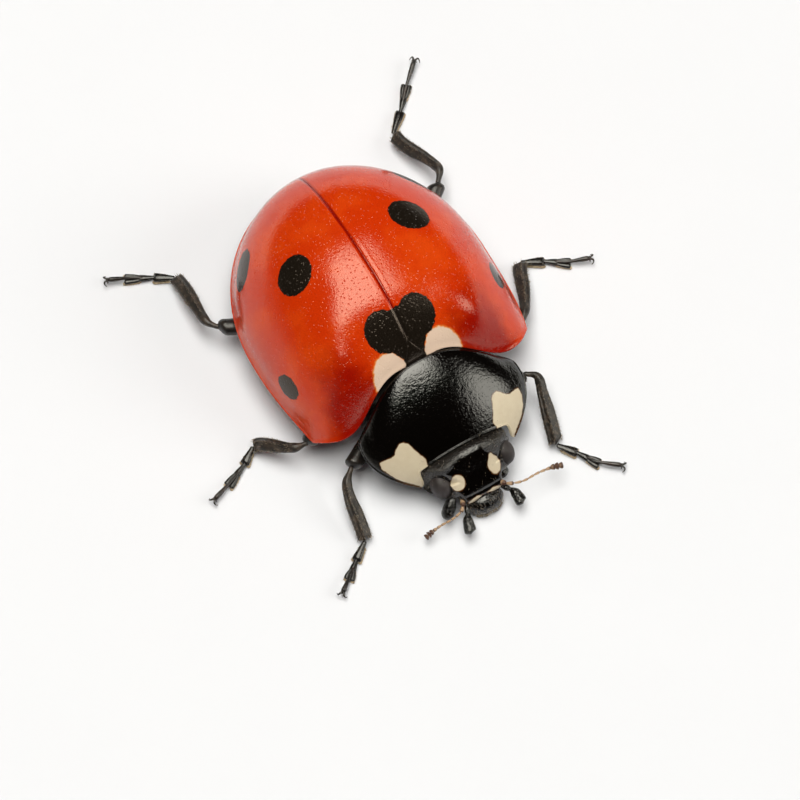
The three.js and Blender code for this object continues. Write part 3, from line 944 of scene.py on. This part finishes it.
def head_surface(lateral, turn):
    """Across, down and out for a point of the head: lateral from -1 to 1, turn round the lateral axis."""
    widest = HEAD_HALF_WIDTH[LEFT if lateral > 0 else RIGHT]
    a = widest * raised_signed(lateral, 0.9)
    share = abs(a) / widest
    thin = raised(1 - abs(lateral) ** 4.2, 0.4)
    low = head_outline(abs(a))
    high = HEAD_BACK + 0.1 * share**2
    down_way = raised_signed(math.cos(turn), 0.78)
    out_way = raised_signed(math.sin(turn), 0.48)
    down = HEAD_MIDDLE + ((low - HEAD_MIDDLE) if down_way > 0 else (HEAD_MIDDLE - high)) * down_way * thin
    crest = FACE_LEVEL - 0.1 * share**4 - BROW_BEND[0] * raised((BROW - down) / BROW_LENGTH, BROW_BEND[1])
    out = HEAD_CORE + ((crest - HEAD_CORE) if out_way > 0 else (HEAD_CORE - HEAD_CHIN)) * out_way * thin
    if out_way > 0:
        out += face_relief(abs(a), down)
    return Vector((a, down, out))


def eye_side(q):
    return LEFT if q.x > 0 else RIGHT


# The cream mark beside each eye, an oval: how far across and down the face, and its radii that way.
EYE_MARK_AT = {LEFT: (0.42, 0.62), RIGHT: (0.45, 0.63)}
EYE_MARK_RADII = {LEFT: (0.145, 0.25), RIGHT: (0.155, 0.19)}
EYE_MARK_SLOPE = {LEFT: 0.13, RIGHT: 0.14}  # turns its measure into a distance
EYE_MARK_WAIST = {LEFT: 0.06, RIGHT: 0.0}  # how much narrower it is at its upper end
# The cream bar on each side above the mouth: its middle across, its level at the midline, slant and radii.
MOUTH_BAR_AT = 0.235
MOUTH_BAR_LEVEL = 1.1474
MOUTH_BAR_SLANT = 0.12
MOUTH_BAR_RADII = (0.165, 0.055)
MOUTH_BAR_POINT = 0.03  # how much thinner it is near the midline


def head_cream_distance(q):
    """Signed distance from the head's cream marks: one beside each eye and a bar each side of the mouth."""
    a = abs(q.x)
    side = eye_side(q)
    across, down = EYE_MARK_AT[side]
    wide, tall = EYE_MARK_RADII[side]
    wide -= EYE_MARK_WAIST[side] * smooth(0.6, 0.42, q.y)
    drop = (math.hypot((a - across) / wide, (q.y - down) / tall) - 1) * EYE_MARK_SLOPE[side]
    long, thick = MOUTH_BAR_RADII
    thick -= MOUTH_BAR_POINT * smooth(0.2, 0.06, a)
    off_line = q.y - MOUTH_BAR_LEVEL - MOUTH_BAR_SLANT * a
    bar = (math.hypot((a - MOUTH_BAR_AT) / long, off_line / thick) - 1) * 0.05
    return min(drop, bar) if q.z > -0.3 else 1


def eye_reach(q):
    """How far a point of the head is from the nearer eye's middle, in eye radii."""
    away = q - EYE_AT[eye_side(q)]
    return math.sqrt(sum((away[i] / EYE_RADII[i]) ** 2 for i in range(3)))


def vertex_band(q):
    """1 on the dull band across the top of the head, painted with a grey sheen, which reaches lower at its
    sides.
    """
    a = abs(q.x)
    low = 0.09 + (0.31 * smooth(0.2, 0.5, a) if q.x > 0 else 0.17 * smooth(0.1, 0.6, a))
    return smooth(low + 0.05, low - 0.06, q.y) * smooth(-0.5, -0.3, q.z)


def head():
    """The head with a sunk socket for each eye, dull and painted with a grey sheen at the top, at the temples
    and round the sockets.
    """
    bm = bmesh.new()
    cream = bm.verts.layers.float.new("cream")
    dull = bm.verts.layers.float.new("dull")
    bmesh.ops.create_uvsphere(bm, u_segments=230, v_segments=210, radius=1)
    ring_at, ring_width, ring_height = SOCKET_RING
    for v in bm.verts:
        q = head_surface(v.co.z, math.atan2(v.co.y, v.co.x))
        from_cream = head_cream_distance(q)
        v[cream] = within_one(from_cream)
        a = abs(q.x)
        away = q - EYE_AT[eye_side(q)]
        way = EYE_WAY[eye_side(q)].normalized()
        ahead = away.dot(way)
        beside = (away - way * ahead).length / SOCKET_RADIUS
        outside = smooth(-0.15, 0.05, ahead)
        temple = smooth(0.86, 0.95, a) * smooth(1.0, 0.8, q.y)
        socket = bump(beside, *SOCKET_SHEEN) * outside * smooth(0.01, 0.07, from_cream)
        # the dull zones are rougher, and painted with a grey sheen in place of their reflections
        v[dull] = max(vertex_band(q), socket, temple)
        q = q - way * max(ahead + SOCKET_DEPTH, 0) * smooth(*SOCKET_WALL, beside)
        q = q + way * ring_height * bump(beside, ring_at, ring_width) * outside * smooth(0.62, 0.72, a)
        v.co = under_shield(on_face(*q))
    finished("head_capsule", closed(bm), BLACK_HEAD, "black_shell", "head")


def eyes():
    """An egg-shaped eye in each socket."""
    turn = Matrix((Vector((1, 0, 0)), FACE_DOWN, FACE_OUT)).transposed()
    for name, side in SIDES.items():
        bm = bmesh.new()
        bmesh.ops.create_uvsphere(bm, u_segments=48, v_segments=32, radius=1)
        bmesh.ops.scale(bm, vec=EYE_RADII, verts=bm.verts)
        bmesh.ops.rotate(bm, cent=(0, 0, 0), matrix=turn, verts=bm.verts)
        bmesh.ops.translate(bm, vec=on_face(*EYE_AT[side]), verts=bm.verts)
        finished(f"faceted_eye_{name}", closed(bm), EYE, "eye", f"eye_{name}")


LIP_HALF_WIDTH = 0.40
LIP_LEVEL = 1.44  # how far down the face its middle lies
LIP_HALF_LENGTH = 0.24
LIP_THICKNESS = 0.075  # half of it
LIP_NOTCH = 0.035  # in the middle of its lower edge


def lip_point(s, t, side):
    """A point of the upper lip: s across, t down it, both from -1 to 1, side above or below 0."""
    across = s * (LIP_HALF_WIDTH - 0.05 * t**2 - 0.03 * t)
    notch = LIP_NOTCH * bump(s, 0, 0.25) * smooth(0.3, 1.0, t)
    down = LIP_LEVEL + t * (LIP_HALF_LENGTH - 0.05 * s * s) - notch
    thick = LIP_THICKNESS * raised(1 - s**4, 0.5) * raised(1 - t**4, 0.5)
    bow = 0.03 - 0.13 * s * s - 0.06 * (t - 0.1) ** 2
    return Vector((across, down, bow + thick * side))


def upper_lip():
    """A broad coarsely pitted plate hanging below the face."""
    bm = bmesh.new()
    cream = bm.verts.layers.float.new("cream")
    dull = bm.verts.layers.float.new("dull")
    bmesh.ops.create_uvsphere(bm, u_segments=72, v_segments=48, radius=1)
    for v in bm.verts:
        flat = Vector((v.co.x, v.co.y))
        square = max(abs(flat.x), abs(flat.y)) / max(flat.length, 1e-9)
        flat = flat / (0.35 + 0.65 * square)
        q = lip_point(within_one(flat.x), within_one(flat.y), raised_signed(v.co.z, 0.8))
        v[cream] = 1
        v[dull] = 0
        v.co = on_face(*q)
    finished("upper_lip", closed(bm), BLACK_LIP, "black_shell", "labrum")


# A feeler's segments from its root: length as a share, radius, and how dark it is.
FEELER_SEGMENTS = (
    (2.2, 0.056, 0.35), (1.25, 0.044, 0.25),
    (1.4, 0.029, 0.1), (1.15, 0.027, 0.05), (1.15, 0.027, 0.05), (1.1, 0.028, 0.1), (1.05, 0.031, 0.12),
    (0.95, 0.038, 0.3), (0.75, 0.064, 0.55), (0.65, 0.078, 0.6), (0.75, 0.07, 0.55),
)
RING_SHADE = 0.6  # how much darker a segment is at its two ends


def feeler(name):
    """Eleven segments: a stout first one, a thin shaft and a compact club of three."""
    path = Path(*FEELER_BENDS[name])
    bm = bmesh.new()
    ring = bm.verts.layers.float.new("ring")
    total = sum(length for length, radius, dark in FEELER_SEGMENTS)
    start = 0
    for length, radius, dark in FEELER_SEGMENTS:
        end = start + length / total
        root = path.at(start)[0]
        reach = max((path.at(end)[0] - root).length, 1e-6)
        for v in segment(bm, path, start, end, radius):
            at = (v.co - root).length / reach
            v[ring] = dark + RING_SHADE * smooth(0.7, 1.0, at) + RING_SHADE * smooth(0.2, 0.0, at)
        start = end
    finished(f"feeler_{name}", closed(bm), FEELER, "feeler", f"antenna_{name}")


def segment(bm, path, start, end, radius):
    """One segment of a feeler: a little cup, wider towards its far end."""

    def size(t, a):
        r = radius * (0.7 + 0.3 * smooth(0.0, 0.8, t)) * rounded_end(t, 0.25, 0.22)
        return r, r

    points = [path.at(start + (end - start) * k / 3)[0] for k in range(4)]
    points[-1] = points[-1] + (points[-1] - points[-2]) * 0.16
    return Limb(Path(*points, steps=4), size).draw(bm, 14, 12)


# Where the feelers, the palps and the jaw lobes run, from their roots.
FEELER_BENDS = {
    "left": (
        (0.42, -2.45, 0.52), (0.5, -2.66, 0.59), (0.68, -2.78, 0.62), (0.91, -2.83, 0.6),
        (1.22, -2.82, 0.58), (1.55, -2.85, 0.55), (1.78, -2.91, 0.52),
    ),
    "right": (
        (-0.42, -2.46, 0.5), (-0.48, -2.63, 0.55), (-0.58, -2.73, 0.5), (-0.79, -2.76, 0.42),
        (-1.06, -2.74, 0.34), (-1.26, -2.75, 0.3), (-1.47, -2.79, 0.26),
    ),
}
PALP_BENDS = {
    "left": (
        (0.42, -2.56, 0.44), (0.5, -2.7, 0.45), (0.6, -2.84, 0.43), (0.64, -2.97, 0.4), (0.65, -3.19, 0.36),
    ),
    "right": (
        (-0.36, -2.56, 0.44), (-0.42, -2.7, 0.45), (-0.48, -2.84, 0.43), (-0.54, -2.95, 0.4),
        (-0.62, -3.22, 0.33),
    ),
}
JAW_BENDS = {
    "left": ((0.54, -2.28, 0.62), (0.6, -2.37, 0.53), (0.67, -2.47, 0.43)),
    "right": ((-0.55, -2.34, 0.56), (-0.74, -2.52, 0.4), (-0.9, -2.64, 0.24)),
}


def palp_size(t, a):
    """Thin knotted stalk, then a broad flat hatchet cut off across its end."""
    r = 0.05 + 0.016 * bump(t, 0.28, 0.08) + 0.022 * bump(t, 0.5, 0.07) - 0.012 * bump(t, 0.4, 0.03)
    r += 0.062 * smooth(0.46, 0.62, t) + 0.016 * smooth(0.6, 0.85, t)
    r *= rounded_end(t, 0.08, 0.08)
    return r, r * (0.95 - 0.25 * smooth(0.5, 0.8, t))


def jaw_size(t, a):
    """A rounded lobe."""
    r = (0.1 + 0.04 * smooth(0.1, 0.6, t)) * rounded_end(t, 0.3, 0.3)
    return r, r * 0.85


def palp(name):
    return Limb(Path(*PALP_BENDS[name]), palp_size, slant=0.06)


def palps():
    """On each side a stalked feeding palp with a hatchet-shaped end, and the black jaw lobe beside it."""
    for name in SIDES:
        bm = bmesh.new()
        cream = bm.verts.layers.float.new("cream")
        dull = bm.verts.layers.float.new("dull")
        tip = Vector(PALP_BENDS[name][-1])
        for v in palp(name).draw(bm, 28, 54):
            # the hatchet's tip is dull, with the painted grey sheen
            v[dull] = 1.5 * smooth(0.12, 0.02, (v.co - tip).length)
        Limb(Path(*JAW_BENDS[name]), jaw_size).draw(bm, 24, 28)
        for v in bm.verts:
            v[cream] = 1
        finished(f"palps_{name}", closed(bm), BLACK_LIP, "leg", f"palp_{name}")


# ---- legs ----
# Each leg: hip, knee and two points of the shin; two more and the ankle; the ends of the two toe joints
# and the claws' root.
LEGS = {
    "front_left": (
        (0.6, -0.85, 0.4), (2.11, -0.79, 0.74), (2.29, -1.0, 0.74), (2.22, -1.34, 0.62),
        (2.13, -1.72, 0.47), (2.04, -2.06, 0.32), (1.97, -2.34, 0.19),
        (2.28, -2.7, 0.11), (2.56, -3.15, 0.08), (2.92, -3.42, 0.17),
    ),
    "front_right": (
        (-0.75, 0.0, 0.45), (-2.12, -0.8, 0.7), (-2.34, -1.03, 0.64), (-2.44, -1.34, 0.52),
        (-2.48, -1.68, 0.39), (-2.52, -1.97, 0.28), (-2.57, -2.18, 0.19),
        (-2.96, -2.46, 0.11), (-3.29, -2.74, 0.08), (-3.54, -2.93, 0.17),
    ),
    "middle_left": (
        (0.75, 0.75, 0.4), (2.66, 0.19, 0.66), (2.81, 0.41, 0.62), (2.99, 0.7, 0.52),
        (3.18, 1.11, 0.38), (3.31, 1.42, 0.27), (3.44, 1.63, 0.19),
        (3.93, 1.41, 0.11), (4.39, 1.1, 0.08), (4.76, 0.97, 0.2),
    ),
    "middle_right": (
        (-0.75, 0.75, 0.4), (-2.66, 0.14, 0.66), (-2.9, 0.22, 0.62), (-3.14, 0.44, 0.5),
        (-3.32, 0.65, 0.38), (-3.42, 0.77, 0.27), (-3.54, 0.83, 0.19),
        (-3.9, 0.59, 0.11), (-4.43, 0.34, 0.08), (-4.82, 0.21, 0.17),
    ),
    "hind_left": (
        (0.9, 2.45, 0.4), (2.79, 3.94, 0.66), (2.94, 4.2, 0.62), (2.86, 4.6, 0.5),
        (2.73, 4.95, 0.38), (2.64, 5.29, 0.27), (2.61, 5.58, 0.19),
        (3.05, 6.0, 0.11), (3.48, 6.48, 0.08), (3.87, 6.84, 0.2),
    ),
    "hind_right": (
        (-0.9, 2.45, 0.4), (-2.96, 3.38, 0.66), (-3.07, 3.63, 0.62), (-3.07, 4.11, 0.5),
        (-3.05, 4.55, 0.38), (-3.05, 4.82, 0.27), (-3.07, 5.01, 0.19),
        (-3.46, 5.28, 0.11), (-4.01, 5.56, 0.08), (-4.33, 5.68, 0.2),
    ),
}


def thigh_size(t, a):
    """A rounded club, flatter underneath."""
    r = (0.12 + 0.062 * smooth(0.0, 0.45, t)) * rounded_end(t, 0.08, 0.06)
    return r, r * (0.86 - 0.16 * bump(a, -math.pi / 2, 0.5))


def shin_size(t, a):
    """Thin and round at the knee, then broad and flat with a keel along its upper side."""
    r = 0.055 + 0.055 * smooth(0.06, 0.25, t) + 0.042 * smooth(0.25, 0.65, t)
    r *= rounded_end(t, 0.03, 0.035)
    flat = smooth(0.12, 0.4, t)
    keel = 0.2 * bump(a, 1.5, 0.2) - 0.16 * bump(a, 1.0, 0.2) - 0.12 * bump(a, 2.1, 0.3)
    return r, r * (1 - 0.36 * flat) * (1 + flat * keel)


def toe_size(wide, thick):
    """A toe joint that widens to the given half width and half thickness."""

    def size(t, a):
        r = (0.5 + 0.5 * smooth(0.0, 0.9, t)) * rounded_end(t, 0.08, 0.07)
        return wide * r, thick * r

    return size


def claw_size(t, a):
    """A round horn that runs out to a point."""
    r = 0.03 * (1 - 0.8 * t) * rounded_end(t, 0.1, 0.02)
    return r, r


def claw_stalk_size(t, a):
    """The thin last toe joint, stouter where the claws sit."""
    r = (0.03 + 0.024 * smooth(0.35, 0.9, t)) * rounded_end(t, 0.1, 0.06)
    return r, r


def pad_size(t, a):
    """The strip of pale hair under a toe joint."""
    r = (0.03 + 0.012 * smooth(0.2, 0.9, t)) * rounded_end(t, 0.15, 0.1)
    return r, r * 0.85


TOE = (0.098, 0.055)  # half width and half thickness of the first toe joint
TOE_NECK = (0.075, 0.05)  # and of the second, which ends in two lobes
TOE_LOBE = (0.058, 0.045)
LOBE_SPREAD = 0.065  # how far each lobe's tip lies aside
PAD_LEVEL = 0.03  # the height of a pad's middle line
HEEL_LEVEL = 0.055  # and of the rear end of the first joint's pads
CLAW_ARCH = 0.15  # how high the claws' stalk passes over the lobes


class Leg:
    """One leg's limbs, in the insect's own axes."""

    def __init__(self, joints):
        hip, knee, bend, upper, middle, lower, ankle, toe, lobe, wrist = (Vector(p) for p in joints)
        left = knee.x > 0
        self.thigh = Limb(Path(hip, hip.lerp(knee, 0.5) + UP * 0.03, knee), thigh_size, slant=0.04)
        shin = Path(knee.lerp(hip, 0.03), bend, upper, middle, lower, ankle)
        self.shin = Limb(shin, shin_size, slant=0.05 if left else 0.0, notch=0.0 if left else 0.025)
        self.toe = Limb(Path(ankle - UP * 0.02, ankle.lerp(toe, 0.5), toe), toe_size(*TOE), notch=0.1)
        ahead = (lobe - toe).normalized()
        aside = ahead.cross(UP).normalized()
        neck = Path(toe - ahead * 0.06, toe.lerp(lobe, 0.25), toe.lerp(lobe, 0.5))
        self.neck = Limb(neck, toe_size(*TOE_NECK))
        self.lobes = []
        self.pads = []
        for way in (-1, 1):
            self.add_lobe(toe, lobe, ahead, aside * way)
            self.add_heel_pad(ankle, toe, way)
        over = Vector((*toe.lerp(lobe, 0.85).xy, CLAW_ARCH))
        stalk = Path(toe.lerp(lobe, 0.3) + UP * 0.02, toe.lerp(lobe, 0.6) + UP * 0.045, over, wrist)
        self.stalk = Limb(stalk, claw_stalk_size)
        self.claws = []
        ahead = (wrist - over).normalized()
        for way in (-1, 1):
            self.add_claw(wrist, ahead, ahead.cross(UP).normalized() * way)

    def add_lobe(self, toe, lobe, ahead, out):
        """One lobe of the second toe joint, and the pad under it."""
        tip = lobe + out * LOBE_SPREAD
        root = toe.lerp(lobe, 0.3) + out * 0.02
        self.lobes.append(Limb(Path(root, toe.lerp(lobe, 0.65) + out * 0.055, tip), toe_size(*TOE_LOBE)))
        low = Vector((0, 0, PAD_LEVEL))
        flat_tip = Vector((tip.x, tip.y, 0)) + low + ahead * 0.03 + out * 0.012
        flat_root = Vector((root.x, root.y, 0)) + low + ahead * 0.05 + out * 0.03
        pad = Path(flat_root, flat_root.lerp(flat_tip, 0.5) + out * 0.012, flat_tip)
        self.pads.append(Limb(pad, pad_size))

    def add_heel_pad(self, ankle, toe, way):
        """One of the two pads under the first toe joint."""
        run = (toe - ankle).normalized()
        beside = run.cross(UP).normalized() * way
        start = ankle.lerp(toe, 0.2) + beside * 0.045
        end = toe + beside * 0.085 + run * 0.01
        start.z = HEEL_LEVEL
        end.z = PAD_LEVEL
        self.pads.append(Limb(Path(start, start.lerp(end, 0.5), end), pad_size))

    def add_claw(self, wrist, ahead, out):
        """A claw that bends out and down to its point, and the tooth at its root."""
        bend = wrist + out * 0.05 + ahead * 0.07
        turn = wrist + out * 0.09 + ahead * 0.075 - UP * 0.05
        point = wrist + out * 0.12 + ahead * 0.03 - UP * 0.1
        self.claws.append(Limb(Path(wrist - ahead * 0.02, bend, turn, point), claw_size))
        tooth = wrist + out * 0.06 + ahead * 0.01 - UP * 0.07
        self.claws.append(Limb(Path(wrist + out * 0.02, tooth), claw_size))


def drawn(*limbs):
    """One closed bmesh of limbs, each given with its number of faces round it and along it."""
    bm = bmesh.new()
    for limb, around, along in limbs:
        limb.draw(bm, around, along)
    return closed(bm)


def leg(name, joints):
    """A leg's five pieces and its hairs."""
    made = Leg(joints)
    toes = [(made.toe, 24, 28), (made.neck, 18, 18), *((lobe, 18, 18) for lobe in made.lobes)]
    pads = [(pad, 14, 14) for pad in made.pads]
    claws = [(made.stalk, 16, 30), *((claw, 12, 18) for claw in made.claws)]
    finished(f"thigh_{name}", drawn((made.thigh, 28, 50)), BLACK_LEG, "leg", f"femur_{name}")
    finished(f"shin_{name}", drawn((made.shin, 44, 70)), BROWN_LEG, "leg", f"tibia_{name}")
    finished(f"toes_{name}", drawn(*toes), GLOSSY_LEG, "leg", f"tarsus_{name}")
    finished(f"pads_{name}", drawn(*pads), PAD, "leg")
    finished(f"claw_{name}", drawn(*claws), CLAW, "claw", f"claws_{name}")
    leg_hairs(name, made)


# ---- hairs ----
CHANCE = random.Random(7)
HAIR_PATCH = 0.003  # the size of each hair's own patch on the unwrap
HAIR_SINK = 0.06  # share of a hair's length that is below the skin
HAIR_TIP = 0.15  # radius of its tip, as a share of its root's


class Hairs:
    """Many small tapered hairs in one piece, each on its own patch of the unwrap."""

    def __init__(self):
        self.bm = bmesh.new()
        self.unwrap = self.bm.loops.layers.uv.new("OFBake")

    def add(self, root, way, length, radius, place):
        """A three-sided hair; place is its root's spot on the unwrap."""
        turn = way.to_track_quat("Z", "Y").to_matrix().to_4x4()
        at = Matrix.Translation(root + way * (length * (0.5 - HAIR_SINK))) @ turn
        radii = {"radius1": radius, "radius2": radius * HAIR_TIP}
        made = bmesh.ops.create_cone(self.bm, cap_ends=True, segments=3, depth=length, matrix=at, **radii)
        for face in {f for v in made["verts"] for f in v.link_faces}:
            for k, loop in enumerate(face.loops):
                corner = ((k in (1, 2)) * HAIR_PATCH, (k > 1) * HAIR_PATCH)
                loop[self.unwrap].uv = (place[0] + corner[0], place[1] + corner[1])

    def finish(self, name, material):
        finished(name, self.bm, material, "hair")


def leaning(out, ahead, lean, spread):
    """A hair's way: out of the skin, leaning ahead, with a little disorder."""
    stray = Vector((CHANCE.gauss(0, spread), CHANCE.gauss(0, spread), CHANCE.gauss(0, spread)))
    return (out * (1 - lean) + ahead * lean + stray).normalized()


def hairs_on(hairs, limb, count, along, around, length, band, lean=0.7, radius=0.006):
    """Hairs on part of a limb: along and around give the ranges, band its strip of the unwrap."""
    for _ in range(count):
        t = CHANCE.uniform(*along)
        a = CHANCE.uniform(*around)
        out, ahead = limb.outward(t, a)
        way = leaning(out, ahead, lean, 0.12)
        turn = (a / (2 * math.pi)) % 1
        place = (0.02 + 0.95 * t, band[0] + (band[1] - band[0]) * turn)
        hairs.add(limb.point(t, a), way, length * CHANCE.uniform(0.7, 1.2), radius, place)


FULL_TURN = (0.0, 2 * math.pi)


def leg_hairs(name, made):
    """Short hairs on the thigh, the shin with its keel, edges and tip, the toes and the pads."""
    hairs = Hairs()
    hairs_on(hairs, made.thigh, 50, (0.45, 0.97), FULL_TURN, 0.045, (0.02, 0.18), radius=0.004)
    hairs_on(hairs, made.shin, 130, (0.25, 0.97), FULL_TURN, 0.045, (0.2, 0.4), lean=0.85, radius=0.004)
    hairs_on(hairs, made.shin, 70, (0.3, 0.96), (1.35, 1.6), 0.035, (0.2, 0.4), lean=0.6, radius=0.004)
    for side in (0.0, math.pi):
        edge = (side - 0.35, side + 0.35)
        hairs_on(hairs, made.shin, 34, (0.5, 0.98), edge, 0.06, (0.2, 0.4), lean=0.6, radius=0.004)
    hairs_on(hairs, made.shin, 18, (0.955, 0.985), FULL_TURN, 0.08, (0.2, 0.4), lean=0.8, radius=0.007)
    hairs_on(hairs, made.toe, 26, (0.3, 0.95), FULL_TURN, 0.04, (0.42, 0.5), lean=0.7, radius=0.004)
    for k, pad in enumerate(made.pads):
        low = 0.52 + 0.1 * k
        hairs_on(hairs, pad, 26, (0.1, 0.95), FULL_TURN, 0.03, (low, low + 0.08), lean=0.6, radius=0.005)
    hairs.finish(f"hairs_{name}", PALE_HAIR)


def head_hairs():
    """Short hairs on the face and round the eyes, and a pale fringe along the lip."""
    hairs = Hairs()
    for _ in range(300):
        lateral = CHANCE.uniform(-0.97, 0.97)
        turn = CHANCE.uniform(0.25, math.pi - 0.1)
        q = head_surface(lateral, turn)
        if eye_reach(q) < 1.1:
            continue
        way = leaning(FACE_OUT, FACE_DOWN, 0.72, 0.15)
        hairs.add(on_face(*q), way, 0.035, 0.003, (0.02 + 0.46 * (lateral + 1) / 2, turn / math.pi * 0.45))
    for _ in range(150):
        s = CHANCE.uniform(-0.98, 0.98)
        t = CHANCE.uniform(-0.7, 0.98)
        way = leaning(FACE_OUT, FACE_DOWN, 0.7, 0.15)
        hairs.add(on_face(*lip_point(s, t, 0.9)), way, 0.045, 0.004, (0.75 + 0.22 * s, 0.25 + 0.2 * t))
    for _ in range(190):
        s = CHANCE.uniform(-0.97, 0.97)
        way = leaning(FACE_OUT * 0.3 + Vector((s * 0.5, 0, 0)), FACE_DOWN, 0.75, 0.12)
        hairs.add(on_face(*lip_point(s, 0.96, 0.2)), way, 0.06, 0.005, (0.75 + 0.22 * s, 0.47))
    for name in SIDES:
        low = 0.55 if name == "left" else 0.75
        band = (low, low + 0.15)
        hairs_on(hairs, palp(name), 60, (0.1, 0.98), FULL_TURN, 0.03, band, lean=0.7, radius=0.003)
    hairs.finish("hairs_head", PALE_HAIR)


def belly_hairs():
    """Short pale hairs over the underside."""
    hairs = Hairs()
    for limb, count, low in zip(BELLY_LIMBS, (420, 260, 160), (0.02, 0.35, 0.68)):
        hairs_on(hairs, limb, count, (0.08, 0.92), (math.pi, 2 * math.pi), 0.09, (low, low + 0.3), lean=0.75)
    hairs.finish("hairs_belly", PALE_HAIR)


# ---- studio ----
VIEW_AZIMUTH = math.radians(-30.207)
VIEW_ELEVATION = math.radians(67.896)
VIEW_DISTANCE = 125
VIEW_WIDTH = 16.687  # what the picture takes in at the aim
VIEW_AIM = Vector((-0.5625, -0.1717, 1.2036))


def camera():
    """Above and in front of the insect, a little to its right, with a long lens."""
    flat = math.cos(VIEW_ELEVATION)
    back = Vector((math.sin(VIEW_AZIMUTH) * flat, -math.cos(VIEW_AZIMUTH) * flat, math.sin(VIEW_ELEVATION)))
    data = bpy.data.cameras.new("camera")
    data.sensor_width = 36
    data.lens = data.sensor_width * VIEW_DISTANCE / VIEW_WIDTH
    data.clip_start = 0.001
    data.clip_end = 10
    view = bpy.data.objects.new("camera", data)
    view.location = TO_FRAME @ (VIEW_AIM + back * VIEW_DISTANCE)
    view.rotation_euler = (-back).to_track_quat("-Z", "Y").to_euler()
    bpy.context.scene.collection.objects.link(view)
    bpy.context.scene.camera = view


# The overhead soft light as seen from the insect: where its corners lie, as (x, y) at height 1.
SOFTBOX = ((0.40, 0.66), (-0.17, 0.58), (-0.55, -0.22), (0.42, -0.40))
SOFTBOX_LIGHT = 7.4
LIGHT_TINT = (1.0, 0.97, 0.86, 1)
SOFTBOX_FADE = (0.12, 0.42)  # it dims towards its edge on the insect's left
SOFTBOX_DIM = 0.3  # to this share of its light
SOFTBOX_EDGE = 0.06
FRONT_LIGHT_WAY = Vector((0.70, -0.49, 0.53)).normalized()
FRONT_LIGHT = 4.2
FRONT_LIGHT_SPREAD = (0.95, 0.98)  # cosines of the angles where it begins and where it is full
ROOM_LIGHT = 0.01
WALL_LIGHT = 0.7
WALL_TOP = (0.08, 0.2, 0.42)  # on the insect's left, before and behind it, and on its right
LOW_WALL_LIGHT = 1.7  # the walls' lowest part, behind the insect and on its left
LOW_WALL_TOP = (0.08, 0.03)
FRONT_WALL_SHARE = 0.05  # the wall before it is nearly dark


def studio():
    """A white tent: one large soft light overhead, a dimmer one in front, and bright walls low down."""
    world = bpy.data.worlds.new("studio")
    world.use_nodes = True
    tree = world.node_tree
    tree.nodes.clear()
    way = node(tree, "ShaderNodeTexCoord").outputs["Generated"]
    left, back, up = node(tree, "ShaderNodeSeparateXYZ", {0: way}).outputs
    height = math_node(tree, "MAXIMUM", up, 1e-3)
    x = math_node(tree, "DIVIDE", left, height)
    y = math_node(tree, "DIVIDE", back, height)
    inside = None
    for (ax, ay), (bx, by) in zip(SOFTBOX, (*SOFTBOX[1:], SOFTBOX[0])):
        edge = Vector((bx - ax, by - ay)).normalized()
        along = plus(tree, times(tree, x, -edge.y), times(tree, y, edge.x))
        depth = math_node(tree, "SUBTRACT", along, ay * edge.x - ax * edge.y)
        inside = depth if inside is None else math_node(tree, "MINIMUM", inside, depth)
    above = math_node(tree, "GREATER_THAN", up, 0.0)
    fade = stepped(tree, x, *SOFTBOX_FADE, SOFTBOX_LIGHT, SOFTBOX_DIM * SOFTBOX_LIGHT)
    key = times(tree, times(tree, stepped(tree, inside, 0.0, SOFTBOX_EDGE), fade), above)
    facing = node(tree, "ShaderNodeVectorMath", {0: way, 1: FRONT_LIGHT_WAY}, operation="DOT_PRODUCT")
    front = stepped(tree, facing.outputs["Value"], *FRONT_LIGHT_SPREAD, 0.0, FRONT_LIGHT)
    side = stepped(tree, left, 0.2, 0.6, WALL_TOP[1], WALL_TOP[0])
    top = plus(tree, side, stepped(tree, left, -0.3, -0.8, 0.0, WALL_TOP[2] - WALL_TOP[1]))
    walls = stepped(tree, math_node(tree, "DIVIDE", up, top), 1.0, 0.0, ROOM_LIGHT, WALL_LIGHT)
    low = stepped(tree, up, *LOW_WALL_TOP, 0.0, LOW_WALL_LIGHT)
    walls = plus(tree, walls, times(tree, low, stepped(tree, plus(tree, left, back), -0.2, 0.3)))
    walls = times(tree, walls, stepped(tree, back, -0.85, -0.35, FRONT_WALL_SHARE, 1.0))
    light = plus(tree, plus(tree, key, front), walls)
    ground = node(tree, "ShaderNodeBackground", {"Color": LIGHT_TINT, "Strength": light})
    node(tree, "ShaderNodeOutputWorld", {"Surface": ground.outputs[0]})
    bpy.context.scene.world = world
    bpy.context.scene.view_settings.view_transform = "Standard"


def floor():
    """A plain pale floor far wider than the insect."""
    bm = bmesh.new()
    bmesh.ops.create_circle(bm, cap_ends=True, segments=96, radius=2)
    mesh = bpy.data.meshes.new("floor")
    bm.to_mesh(mesh)
    bm.free()
    material, tree = new_material("pale_floor")
    tone = mixed(tree, cloudy(tree, 4.0, 3.0), (0.78, 0.80, 0.89), (0.80, 0.82, 0.91))
    output(tree, tone, relief(tree, cloudy(tree, 0.3), 0.002), 0.9, level=0.1)
    mesh.materials.append(material)
    ground = bpy.data.objects.new("floor", mesh)
    bpy.context.scene.collection.objects.link(ground)


def build():
    """The insect's pieces, then the camera, the light and the floor."""
    for name, side in SIDES.items():
        wing_case(name, side)
        feeler(name)
    scutellum()
    shield()
    trunk()
    head()
    eyes()
    upper_lip()
    palps()
    head_hairs()
    belly_hairs()
    for name, joints in LEGS.items():
        leg(name, joints)
    camera()
    studio()
    floor()


build()
